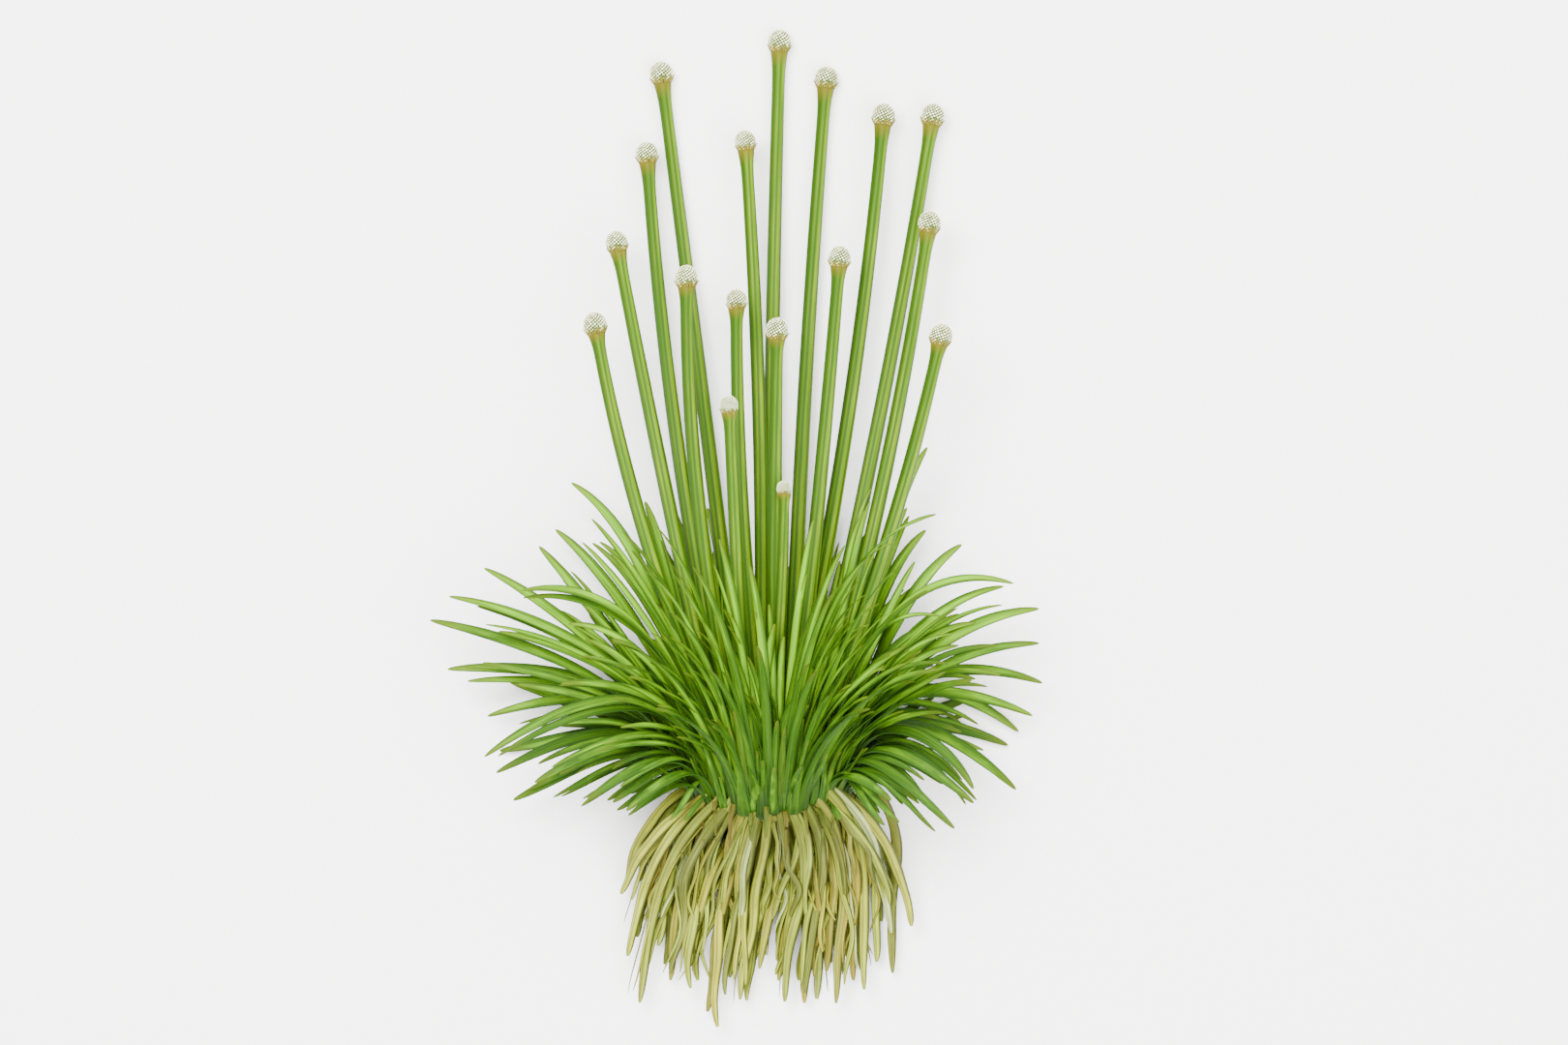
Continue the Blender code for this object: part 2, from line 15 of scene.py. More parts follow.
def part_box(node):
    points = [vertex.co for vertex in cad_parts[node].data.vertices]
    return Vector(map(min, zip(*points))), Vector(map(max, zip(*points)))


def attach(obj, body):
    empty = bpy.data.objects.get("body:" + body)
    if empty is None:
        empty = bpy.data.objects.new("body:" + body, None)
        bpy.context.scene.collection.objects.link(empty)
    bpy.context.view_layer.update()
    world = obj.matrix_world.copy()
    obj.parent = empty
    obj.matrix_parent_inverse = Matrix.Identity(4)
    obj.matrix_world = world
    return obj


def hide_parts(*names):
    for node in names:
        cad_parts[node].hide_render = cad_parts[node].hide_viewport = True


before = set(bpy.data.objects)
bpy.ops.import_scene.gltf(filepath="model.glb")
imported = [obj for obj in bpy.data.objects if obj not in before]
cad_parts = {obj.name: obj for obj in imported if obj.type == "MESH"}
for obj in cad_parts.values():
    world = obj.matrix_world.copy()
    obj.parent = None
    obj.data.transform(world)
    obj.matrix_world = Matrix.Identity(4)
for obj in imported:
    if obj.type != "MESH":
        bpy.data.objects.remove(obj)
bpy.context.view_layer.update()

# The view. The plant was drawn on white, from straight in front of it, so the camera hangs high over the
# table and looks straight down on the plant as it lies there. The table is a plain pale sheet of matt paper
# under two soft lights and a white room.
MM = 0.001
VIEW_WIDTH = 251.1 * MM
VIEW_MIDDLE = Vector((7.6, 0.85, 14.0)) * MM
CAMERA_HEIGHT = 3.0
TABLE_SIZE = 4.0
ROOM_LIGHT = 1.6

camera_data = bpy.data.cameras.new("camera")
camera_data.sensor_width = 36.0
camera_data.lens = camera_data.sensor_width * CAMERA_HEIGHT / VIEW_WIDTH
camera_data.clip_end = 10.0
camera = bpy.data.objects.new("camera", camera_data)
camera.location = VIEW_MIDDLE + Vector((0.0, 0.0, CAMERA_HEIGHT))
bpy.context.scene.collection.objects.link(camera)
bpy.context.scene.camera = camera


def hang_light(name, place, size, power):
    """A square soft light that hangs at a place and looks at the plant."""
    data = bpy.data.lights.new(name, "AREA")
    data.size = size
    data.energy = power
    light = bpy.data.objects.new(name, data)
    light.location = place
    light.rotation_euler = (VIEW_MIDDLE - Vector(place)).to_track_quat("-Z", "Y").to_euler()
    bpy.context.scene.collection.objects.link(light)


hang_light("window", (-0.24, 0.32, 0.98), 0.5, 38.5)
hang_light("ceiling", (0.35, -0.25, 1.1), 1.0, 36.5)

studio = bpy.data.worlds.new("studio")
studio.use_nodes = True
studio.node_tree.nodes["Background"].inputs["Color"].default_value = (1.0, 1.0, 1.0, 1.0)
studio.node_tree.nodes["Background"].inputs["Strength"].default_value = ROOM_LIGHT
bpy.context.scene.world = studio


def add(tree, kind, sockets=None, **settings):
    """A new node in a tree. Each of its sockets is linked to an output or set to a value."""
    node = tree.nodes.new(kind)
    for key, value in settings.items():
        setattr(node, key, value)
    for key, value in (sockets or {}).items():
        if isinstance(value, bpy.types.NodeSocket):
            tree.links.new(value, node.inputs[key])
        else:
            node.inputs[key].default_value = value
    return node


def mixed(tree, share, first, second):
    """The output of a Mix node between two colours. Each is a socket, or its red, green and blue."""
    sockets = {0: share}
    for place, colour in ((6, first), (7, second)):
        sockets[place] = colour if isinstance(colour, bpy.types.NodeSocket) else (*colour, 1.0)
    return add(tree, "ShaderNodeMix", sockets, data_type="RGBA").outputs[2]


def new_material(name):
    """A new procedural material, with its tree and its Principled BSDF."""
    material = bpy.data.materials.new(name)
    material.use_nodes = True
    return material, material.node_tree, material.node_tree.nodes["Principled BSDF"]


table_mesh = bpy.data.meshes.new("table")
sheet = bmesh.new()
bmesh.ops.create_grid(sheet, x_segments=1, y_segments=1, size=TABLE_SIZE / 2)
sheet.to_mesh(table_mesh)
sheet.free()
table = bpy.data.objects.new("table", table_mesh)
bpy.context.scene.collection.objects.link(table)
table_paper, tree, shader = new_material("table_paper")
place = add(tree, "ShaderNodeTexCoord")
grain = add(tree, "ShaderNodeTexNoise", {"Vector": place.outputs["Object"], "Scale": 900.0})
white = mixed(tree, grain.outputs["Fac"], (0.90, 0.90, 0.89), (0.95, 0.95, 0.94))
tree.links.new(white, shader.inputs["Base Color"])
shader.inputs["Roughness"].default_value = 0.9
table_mesh.materials.append(table_paper)

# The crown. The plant's short stem, a stubby cone of firm brown tissue that carries everything: leaves round
# its side, stalks on its top and roots round its foot. The clasping leaf bases hide all but a few bits of it.
crown_low, crown_high = (Vector(corner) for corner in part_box("crown"))
CROWN_TOP = 1.7 * MM
CROWN_BOTTOM = -6.4 * MM
CROWN_RADIUS = 11.7 * MM
# The middle of the crown, a little below its top. Every place on the plant is measured from it.
ORIGIN = Vector((
    (crown_low.x + crown_high.x) / 2, crown_high.y - CROWN_TOP, (crown_low.z + crown_high.z) / 2))
UP = Vector((0.0, 1.0, 0.0))
FORWARD = Vector((0.0, 0.0, 1.0))


def bumped(tree, shader, height, strength, distance):
    """Gives a surface a relief that follows a height, and is a distance deep at most."""
    bump = add(tree, "ShaderNodeBump", {"Strength": strength, "Distance": distance, "Height": height})
    tree.links.new(bump.outputs[0], shader.inputs["Normal"])


crown_bark, tree, shader = new_material("crown_bark")
place = add(tree, "ShaderNodeTexCoord")
stretch = add(tree, "ShaderNodeMapping", {"Vector": place.outputs["Object"], "Scale": (900.0, 260.0, 900.0)})
fibre = add(tree, "ShaderNodeTexNoise", {"Vector": stretch.outputs[0], "Scale": 1.0, "Detail": 4.0})
brown = mixed(tree, fibre.outputs["Fac"], (0.020, 0.028, 0.004), (0.110, 0.105, 0.012))
tree.links.new(brown, shader.inputs["Base Color"])
shader.inputs["Roughness"].default_value = 0.75
shader.inputs["Specular IOR Level"].default_value = 0.08
bumped(tree, shader, fibre.outputs["Fac"], 0.6, 0.3 * MM)
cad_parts["crown"].data.materials.clear()
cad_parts["crown"].data.materials.append(crown_bark)

# The leaves. Narrow straps of thin, juicy tissue in four whorls, which leave the crown by broad clasping
# bases, arch over and taper to blunt tips. Fine veins run along them and their tips are yellower. Their
# edges, one half of each blade and their feet are painted darker as shade, and the lowest ones are painted
# the deepest green as shade.
LEAF_WIDTH = 4.4 * MM
LEAF_THICKNESS = 0.9 * MM
LEAF_CHANNEL = 0.5 * MM
LEAF_STATIONS = 28
LEAF_CORNERS = 12
# How broad a leaf is at each share of its length.
LEAF_TAPER = [
    (0.0, 0.78), (0.13, 0.66), (0.36, 0.56), (0.60, 0.51), (0.82, 0.40), (0.93, 0.28), (0.985, 0.16),
    (1.0, 0.05)]
# A leaf's base reaches this far into the crown and this far down it, in millimetres, and is this narrow.
LEAF_IN_CROWN = 2.8
LEAF_INTO_FOOT = 0.9
ROOTED_GIRTH = 0.7
# A whorl's feet stand this much higher, in millimetres, at the plant's sides and in front than at its back.
FOOT_RISE = 3.8
FOOT_LIFT = 1.6
# How straight a leaf starts and ends, and how much closer its stations stand towards its tip.
LEAF_STRAIGHT = 0.33
LEAF_STRAIGHT_PER_BEND = 0.066
TIP_STRAIGHT = 0.75
TIP_CROWDING = 1.35
# A blade that leans enough, or comes down near the table, turns its upper face to the front.
TURN_FORWARD = 0.8
TURN_BY = 0.8
LEAN_FROM = -0.8
LEAN_TO = 0.2
LYING_HEIGHT = 2.5 * MM
FREE_HEIGHT = 9.0 * MM
# How far above the table a point starts to be raised off it.
TABLE_EASE = 2.5 * MM

# Each whorl: its radius and height on the crown, the turn from leaf to leaf, how high its leaves pass over
# the table, how deep its green is painted (darker on the low whorls, as shade), and how much its feet rise at
# the sides and in front.
Whorl = namedtuple("Whorl", "radius height step rest depth bowl")
WHORLS = {
    "low": Whorl(12.6, -4.0, 11.9, 0.0, 1.05, 1.0),
    "outer": Whorl(11.3, -2.0, 11.6, 1.6, 0.62, 0.6),
    "middle": Whorl(9.8, 0.0, 15.2, 2.9, 0.1, 0.2),
    "inner": Whorl(8.3, 2.0, 18.4, 4.2, -0.15, 0.0),
}
# Each tuft: its whorl, the bearing of its middle, and each leaf's tip (across, up the plant and forward of
# the axis, in millimetres) with the tilts of its base and its tip.
TUFTS = {
    "low_left": ("low", 162, [
        (-22.8, -3.3, 14.0, 20, 128), (-29.1, -1.7, 12.0, 16, 125), (-37.5, 1.1, 9.0, 18, 120),
        (-43.7, 2.6, 4.0, 20, 118), (-41.1, -1.9, -4.0, 26, 114)]),
    "low_left_back": ("low", 234, [
        (-43.4, 5.9, -13.0, 16, 100), (-35.5, 16.6, -14.0, 30, 72), (-28.0, 20.0, -14.0, 30, 60),
        (-17.5, 24.5, -14.0, 28, 42), (-8.0, 28.0, -14.0, 26, 20)]),
    "low_right_back": ("low", 306, [
        (7.0, 29.0, -14.0, 26, 18), (16.0, 26.0, -14.0, 28, 40), (25.0, 21.0, -14.0, 30, 55),
        (32.5, 14.5, -14.0, 30, 74), (38.3, 6.8, -13.0, 14, 114)]),
    "low_right": ("low", 18, [
        (39.5, -0.2, -3.0, 8, 134), (32.6, 0.0, 4.0, 6, 152), (32.6, -2.2, 8.0, 8, 130),
        (29.5, -6.2, 12.0, 8, 132), (19.4, -1.7, 13.0, 16, 128)]),
    "low_front": ("low", 90, [
        (16.0, 13.0, 25.0, 22, 84), (7.5, 19.0, 24.0, 20, 66), (-2.0, 23.0, 23.0, 18, 56),
        (-10.0, 19.5, 24.0, 20, 68), (-18.0, 13.0, 25.0, 22, 86)]),
    "outer_left": ("outer", 198, [
        (-54.3, 27.0, 3.0, 28, 78), (-51.6, 19.1, -4.0, 20, 94), (-45.3, 11.5, -9.0, 16, 108),
        (-41.9, 17.1, -13.0, 34, 72), (-29.0, 28.0, -13.0, 28, 48)]),
    "outer_back": ("outer", 270, [
        (-20.0, 33.0, -13.0, 20, 38), (-10.5, 37.0, -13.0, 18, 20), (0.0, 38.0, -13.0, 20, 6),
        (9.5, 37.0, -13.0, 18, 18), (19.0, 34.0, -13.0, 20, 36)]),
    "outer_right": ("outer", 342, [
        (29.0, 27.0, -13.0, 30, 50), (40.0, 9.0, -12.0, 8, 130), (42.2, 11.6, -8.0, 8, 114),
        (43.7, 16.9, -2.0, 10, 110), (43.1, 23.3, 5.0, 18, 90)]),
    "outer_left_front": ("outer", 126, [
        (-12.2, 35.6, 26.0, 22, 58), (-16.3, 28.7, 26.0, 22, 72), (-25.0, 24.0, 26.0, 26, 84),
        (-33.0, 17.0, 24.0, 20, 96), (-45.4, 5.3, 15.0, 11, 126)]),
    "outer_right_front": ("outer", 54, [
        (32.2, 17.5, 19.0, 22, 84), (29.9, 29.0, 19.0, 20, 64), (26.0, 19.0, 25.0, 22, 88),
        (25.1, 31.8, 22.0, 18, 64), (10.0, 31.0, 23.0, 18, 50)]),
    "middle_left": ("middle", 180, [
        (-39.4, 31.8, 14.0, 16, 100), (-51.2, 30.8, 7.0, 24, 81), (-45.7, 35.3, 0.0, 31, 64),
        (-37.0, 38.8, -5.0, 30, 44), (-34.4, 41.5, -9.0, 24, 53)]),
    "middle_back": ("middle", 270, [
        (-19.5, 42.0, -12.0, 22, 34), (-10.0, 45.0, -12.0, 18, 18), (0.5, 46.0, -12.0, 16, 6),
        (10.5, 45.0, -12.0, 18, 18), (20.0, 41.0, -12.0, 22, 34)]),
    "middle_right": ("middle", 0, [
        (25.1, 41.4, -8.0, 22, 50), (30.8, 39.1, -4.0, 22, 58), (43.1, 28.8, 0.0, 22, 86),
        (37.4, 32.4, 6.0, 20, 82), (38.9, 32.9, 13.0, 12, 106)]),
    "middle_front": ("middle", 90, [
        (21.0, 36.0, 21.0, 22, 60), (12.0, 39.0, 21.0, 16, 44), (-3.3, 36.1, 21.0, 12, 44),
        (-6.5, 28.0, 20.0, 18, 66), (-20.0, 35.0, 21.0, 22, 66)]),
    "inner_left_back": ("inner", 225, [
        (-20.0, 46.0, -7.0, 20, 24), (-15.0, 44.0, -9.0, 16, 16), (-9.0, 38.0, -10.0, 14, 10),
        (-3.4, 36.0, -10.0, 10, 4)]),
    "inner_right_back": ("inner", 315, [
        (3.4, 36.0, -10.0, 10, 4), (9.0, 38.0, -10.0, 14, 10), (15.0, 45.0, -9.0, 16, 18),
        (25.3, 54.7, -4.0, 24, 34)]),
    "inner_left_front": ("inner", 135, [
        (-8.0, 40.0, 21.0, 8, 40), (-18.0, 42.0, 17.0, 14, 50), (-28.4, 43.2, 12.0, 22, 46),
        (-31.8, 49.0, -5.0, 22, 60)]),
    "inner_right_front": ("inner", 45, [
        (22.0, 45.0, -3.0, 22, 32), (16.0, 46.0, 15.0, 14, 28), (26.5, 43.9, 23.0, 2, 80),
        (7.0, 43.0, 21.0, 8, 36)]),
}


def heading(level, tilt):
    """The direction at a tilt from the plant's axis, leaning towards a level vector."""
    lean = math.radians(tilt)
    return level.normalized() * math.sin(lean) + UP * math.cos(lean)


def bezier(p0, p1, p2, p3, t):
    """The point at a share of the way along a curve with four control points."""
    s = 1.0 - t
    return p0 * s**3 + p1 * (3 * s * s * t) + p2 * (3 * s * t * t) + p3 * t**3


def tangents(points):
    """The direction at each point, halfway between the directions of the two stretches that meet there."""
    steps = [(b - a).normalized() for a, b in zip(points, points[1:])]
    inner = [(a + b).normalized() for a, b in zip(steps, steps[1:])]
    return [steps[0], *inner, steps[-1]]


def smooth_step(share):
    """A share kept from 0 to 1 and eased at both ends."""
    share = min(1.0, max(0.0, share))
    return share * share * (3 - 2 * share)


def between(stations, along):
    """The value at a share of the length, in line with the stations on either side of it."""
    for (a, before), (b, after) in zip(stations, stations[1:]):
        if along <= b:
            return before + (after - before) * (along - a) / (b - a)
    return stations[-1][1]


def across_part(vector, direction):
    """The part of a vector that is square to a direction, at unit length."""
    return (vector - direction * vector.dot(direction)).normalized()


def kept_off_table(point, clearance):
    """The point, raised smoothly where it would come nearer to the table than clearance."""
    spare = point.z - clearance
    if spare < TABLE_EASE:
        spare = 0.0 if spare < -TABLE_EASE else (spare + TABLE_EASE) ** 2 / (4 * TABLE_EASE)
    return Vector((point.x, point.y, clearance + spare))


def leaf_route(whorl, bearing, leaf, breadth, lift):
    """The middle line of a leaf, the way its upper face looks and its girth, station by station. Breadth is
    its width beside a full leaf's, and lift is how much higher than its whorl it leaves the crown."""
    whorl = WHORLS[whorl]
    turn = math.radians(bearing)
    out = Vector((math.cos(turn), 0.0, math.sin(turn)))
    lift += whorl.bowl * (FOOT_RISE * out.x**2 + FOOT_LIFT * max(0.0, out.z))
    start = ORIGIN + (out * whorl.radius + UP * (whorl.height + lift)) * MM
    tip = ORIGIN + Vector(leaf[:3]) * MM
    reach = tip - start
    leaving = heading(out, leaf[3])
    arriving = heading(Vector((reach.x, 0.0, reach.z)), leaf[4])
    pull = reach.length * (LEAF_STRAIGHT + LEAF_STRAIGHT_PER_BEND * leaving.angle(arriving) ** 2)
    bend_in, bend_out = start + leaving * pull, tip - arriving * pull * TIP_STRAIGHT
    shares = [1 - (1 - k / (LEAF_STATIONS - 1)) ** TIP_CROWDING for k in range(LEAF_STATIONS)]
    free = [bezier(start, bend_in, bend_out, tip, share) for share in shares]
    girths = [between(LEAF_TAPER, share) * breadth for share in shares]
    line = []
    faces = []
    for share, point, direction, girth in zip(shares, free, tangents(free), girths):
        upward = across_part(UP, direction)
        forward = across_part(FORWARD, direction)
        lying = smooth_step((FREE_HEIGHT - point.z) / (FREE_HEIGHT - LYING_HEIGHT))
        facing = TURN_FORWARD * smooth_step((upward.dot(forward) - LEAN_FROM) / (LEAN_TO - LEAN_FROM))
        swing = max(lying, facing) * smooth_step(share / TURN_BY)
        face = across_part(upward * (1 - swing) + forward * swing, direction)
        side = direction.cross(face)
        half_height = (LEAF_WIDTH * abs(side.z) + (LEAF_THICKNESS + LEAF_CHANNEL) * abs(face.z)) / 2 * girth
        line.append(kept_off_table(point, whorl.rest * MM + half_height))
        faces.append(face)
    rooted = line[0] - (out * LEAF_IN_CROWN + UP * LEAF_INTO_FOOT) * MM
    return [rooted, *line], [UP, *faces], [girths[0] * ROOTED_GIRTH, *girths]


def path_mesh(name, routes, marks):
    """A mesh of open paths. Each route is a list of points with the way its face looks and its girth at each
    point, and each mark is a dictionary of numbers that its whole route carries."""
    points = []
    edges = []
    for line, faces, girths in routes:
        edges += [(k, k + 1) for k in range(len(points), len(points) + len(line) - 1)]
        points += line
    mesh = bpy.data.meshes.new(name)
    mesh.from_pydata(points, edges, [])
    face = mesh.attributes.new("face", "FLOAT_VECTOR", "POINT")
    face.data.foreach_set("vector", [part for line, faces, girths in routes for way in faces for part in way])
    girth = mesh.attributes.new("girth", "FLOAT", "POINT")
    girth.data.foreach_set("value", [value for line, faces, girths in routes for value in girths])
    for label in marks[0]:
        layer = mesh.attributes.new(label, "FLOAT", "POINT")
        values = [mark[label] for mark, route in zip(marks, routes) for point in route[0]]
        layer.data.foreach_set("value", values)
    return mesh


def calc(tree, operation, *values, clamp=False):
    """The output of a Math node on sockets or numbers."""
    node = add(tree, "ShaderNodeMath", dict(enumerate(values)), operation=operation, use_clamp=clamp)
    return node.outputs[0]


def new_tree(name, sizes):
    """A Geometry Nodes tree with a geometry in and out, and a named input for each size."""
    tree = bpy.data.node_groups.new(name, "GeometryNodeTree")
    tree.interface.new_socket("Geometry", in_out="INPUT", socket_type="NodeSocketGeometry")
    for label, kind in sizes.items():
        tree.interface.new_socket(label, in_out="INPUT", socket_type="NodeSocket" + kind)
    tree.interface.new_socket("Geometry", in_out="OUTPUT", socket_type="NodeSocketGeometry")
    return tree, add(tree, "NodeGroupInput").outputs


def marked_path(tree, source):
    """The nodes that turn the path mesh into curves, with their face and their share of length."""
    curve = add(tree, "GeometryNodeMeshToCurve", {"Mesh": source})
    along = add(tree, "GeometryNodeSplineParameter")
    mark = tree.nodes.new("GeometryNodeCaptureAttribute")
    mark.capture_items.new("FLOAT", "Along")
    tree.links.new(curve.outputs[0], mark.inputs[0])
    tree.links.new(along.outputs["Factor"], mark.inputs[1])
    face = add(tree, "GeometryNodeInputNamedAttribute", {"Name": "face"}, data_type="FLOAT_VECTOR")
    normal = add(tree, "GeometryNodeSetCurveNormal", {"Curve": mark.outputs[0]}, mode="FREE")
    tree.links.new(face.outputs[0], normal.inputs["Normal"])
    return normal.outputs[0], mark.outputs[1]


def stored(tree, geometry, label, value):
    """The geometry with a number stored under a label, for its material to read."""
    sockets = {"Geometry": geometry, "Name": label, "Value": value}
    return add(tree, "GeometryNodeStoreNamedAttribute", sockets, data_type="FLOAT").outputs[0]


def swept_skin(tree, path, along, corners, shape, material):
    """The nodes that sweep a profile along the curves, cap it and store along and across on the skin. The
    shape function gets the cosine and sine round a unit circle and returns the profile's two coordinates."""
    circle = add(tree, "GeometryNodeCurvePrimitiveCircle", {"Resolution": corners, "Radius": 1.0})
    spot = add(tree, "ShaderNodeSeparateXYZ", {0: add(tree, "GeometryNodeInputPosition").outputs[0]})
    mark = tree.nodes.new("GeometryNodeCaptureAttribute")
    mark.capture_items.new("FLOAT", "Across")
    mark.capture_items.new("FLOAT", "Above")
    tree.links.new(circle.outputs[0], mark.inputs[0])
    tree.links.new(spot.outputs["X"], mark.inputs[1])
    tree.links.new(spot.outputs["Y"], mark.inputs[2])
    outward, sideways = shape(spot.outputs["X"], spot.outputs["Y"])
    moved = add(tree, "ShaderNodeCombineXYZ", {"X": outward, "Y": sideways})
    profile = add(tree, "GeometryNodeSetPosition", {
        "Geometry": mark.outputs[0], "Position": moved.outputs[0]})
    girth = add(tree, "GeometryNodeInputNamedAttribute", {"Name": "girth"}, data_type="FLOAT")
    skin = add(tree, "GeometryNodeCurveToMesh", {
        "Curve": path, "Profile Curve": profile.outputs[0], "Scale": girth.outputs[0],
        "Fill Caps": True}).outputs[0]
    for label, value in (("along", along), ("across", mark.outputs[1]), ("above", mark.outputs[2])):
        skin = stored(tree, skin, label, value)
    smooth = add(tree, "GeometryNodeSetShadeSmooth", {"Geometry": skin})
    dressed = add(tree, "GeometryNodeSetMaterial", {"Geometry": smooth.outputs[0], "Material": material})
    whole = add(tree, "GeometryNodeRealizeInstances", {"Geometry": dressed.outputs[0]})
    add(tree, "NodeGroupOutput", {0: whole.outputs[0]})


def grown(name, mesh, tree, sizes):
    """The plain mesh object that a tree grows from a mesh with these sizes."""
    piece = bpy.data.objects.new(name, mesh)
    bpy.context.scene.collection.objects.link(piece)
    modifier = piece.modifiers.new("grow", "NODES")
    modifier.node_group = tree
    for item in tree.interface.items_tree:
        if item.in_out == "INPUT" and item.name in sizes:
            modifier[item.identifier] = sizes[item.name]
    graph = bpy.context.evaluated_depsgraph_get()
    piece_now = piece.evaluated_get(graph)
    skin = bpy.data.meshes.new_from_object(piece_now, preserve_all_data_layers=True, depsgraph=graph)
    piece.modifiers.remove(modifier)
    piece.data = skin
    bpy.data.meshes.remove(mesh)
    skin.name = name
    return piece


blade_tree, blade = new_tree("blade_along_a_path", {
    "Width": "Float", "Thickness": "Float", "Channel": "Float", "Corners": "Int", "Tissue": "Material"})


def blade_profile(cosine, sine):
    """An oval as wide and thick as the blade, folded along its middle into a shallow channel."""
    slope = calc(blade_tree, "SUBTRACT", calc(blade_tree, "ABSOLUTE", cosine), 0.5)
    rise = calc(blade_tree, "MULTIPLY", slope, blade["Channel"])
    thick = calc(blade_tree, "MULTIPLY", sine, calc(blade_tree, "MULTIPLY", blade["Thickness"], 0.5))
    wide = calc(blade_tree, "MULTIPLY", cosine, calc(blade_tree, "MULTIPLY", blade["Width"], 0.5))
    return calc(blade_tree, "ADD", thick, rise), wide


path, along = marked_path(blade_tree, blade["Geometry"])
swept_skin(blade_tree, path, along, blade["Corners"], blade_profile, blade["Tissue"])


def attribute(tree, label):
    """The output of a number that the surface carries under a label."""
    return add(tree, "ShaderNodeAttribute", attribute_name=label).outputs["Fac"]


def ranged(tree, value, low, high, first=0.0, last=1.0, eased=False):
    """The output of a Map Range node that takes low to high onto first to last."""
    span = {"Value": value, "From Min": low, "From Max": high, "To Min": first, "To Max": last}
    kind = "SMOOTHSTEP" if eased else "LINEAR"
    return add(tree, "ShaderNodeMapRange", span, interpolation_type=kind).outputs[0]


def washed(tree, amount, most, under, colour):
    """A colour laid over another by an amount, and at most by a share."""
    return mixed(tree, calc(tree, "MULTIPLY", amount, most), under, colour)


# The streaks that leaves, stalks and roots share. Fibres and Wander are how many streaks there are across and
# along, Edge is where the rim starts, and Ribs is how many furrows there are round the piece. The masks for
# the rims, for one half of the piece and for the furrows are where the materials paint shade.
streaks = bpy.data.node_groups.new("fibre_streaks", "ShaderNodeTree")
for label in ("Fibres", "Wander", "Edge", "Ribs"):
    streaks.interface.new_socket(label, in_out="INPUT", socket_type="NodeSocketFloat")
for label in ("Streak", "Blotch", "Edge", "Side", "Furrow", "Along", "Tone", "Height"):
    streaks.interface.new_socket(label, in_out="OUTPUT", socket_type="NodeSocketFloat")
given = add(streaks, "NodeGroupInput").outputs
along = attribute(streaks, "along")
across = attribute(streaks, "across")
above = attribute(streaks, "above")
tone = attribute(streaks, "tone")
lane = add(streaks, "ShaderNodeCombineXYZ", {
    "X": calc(streaks, "MULTIPLY", across, given["Fibres"]),
    "Y": calc(streaks, "MULTIPLY", along, given["Wander"]),
    "Z": calc(streaks, "MULTIPLY", tone, 57.0)})
fine = add(streaks, "ShaderNodeTexNoise", {
    "Vector": lane.outputs[0], "Scale": 1.0, "Detail": 3.0, "Roughness": 0.6}).outputs["Fac"]
wash_lane = add(streaks, "ShaderNodeCombineXYZ", {
    "X": calc(streaks, "MULTIPLY", across, 0.8),
    "Y": calc(streaks, "MULTIPLY", along, 7.0),
    "Z": calc(streaks, "MULTIPLY", tone, 91.0)})
wash = add(streaks, "ShaderNodeTexNoise", {"Vector": wash_lane.outputs[0], "Scale": 1.0, "Detail": 2.0})
which_side = calc(streaks, "MULTIPLY_ADD", calc(streaks, "GREATER_THAN", tone, 0.5), 2.0, -1.0)
turn = calc(streaks, "MULTIPLY", calc(streaks, "ARCTAN2", above, across), given["Ribs"])
add(streaks, "NodeGroupOutput", {
    "Streak": ranged(streaks, fine, 0.33, 0.67),
    "Blotch": ranged(streaks, wash.outputs["Fac"], 0.3, 0.7),
    "Edge": ranged(streaks, calc(streaks, "ABSOLUTE", across), given["Edge"], 1.0, eased=True),
    "Side": ranged(streaks, calc(streaks, "MULTIPLY", across, which_side), 0.05, 0.5, eased=True),
    "Furrow": ranged(streaks, calc(streaks, "COSINE", turn), -0.2, 1.0, eased=True),
    "Along": along,
    "Tone": tone,
    "Height": fine})


def streaked(tree, fibres, wander, edge, ribs):
    """The outputs of the shared streaks, with a piece's own numbers."""
    sockets = {"Fibres": fibres, "Wander": wander, "Edge": edge, "Ribs": ribs}
    return add(tree, "ShaderNodeGroup", sockets, node_tree=streaks).outputs


leaf_tissue, tree, shader = new_material("leaf_tissue")
fibres = streaked(tree, 3.6, 4.0, 0.5, 0.0)
depth = attribute(tree, "depth")
# Lit and shaded greens. The deeper a leaf's green, the more of the dark one it gets, which paints the low
# whorls darker as shade. The blotches shift it at random.
bright = mixed(tree, fibres["Streak"], (0.064, 0.180, 0.003), (0.172, 0.375, 0.004))
deep = mixed(tree, fibres["Streak"], (0.012, 0.041, 0.001), (0.040, 0.104, 0.002))
stain = calc(tree, "MULTIPLY_ADD", fibres["Blotch"], 0.7, -0.35)
body = mixed(tree, calc(tree, "ADD", depth, stain, clamp=True), bright, deep)
# Painted shade: one half of each blade, the left or the right by its tone, is darker.
side_shaded = washed(tree, fibres["Side"], 0.68, body, (0.016, 0.051, 0.001))
# Painted shade: each leaf darkens towards its foot, where the leaves crowd on the crown, and the more so the
# deeper its green. The dark there is streaked.
foot = calc(tree, "POWER", calc(tree, "SUBTRACT", 1.0, fibres["Along"]), 2.3)
foot = calc(tree, "MULTIPLY", foot, calc(tree, "ADD", depth, 0.1), clamp=True)
base = mixed(tree, fibres["Streak"], (0.001, 0.005, 0.0003), (0.016, 0.045, 0.001))
shaded = mixed(tree, foot, side_shaded, base)
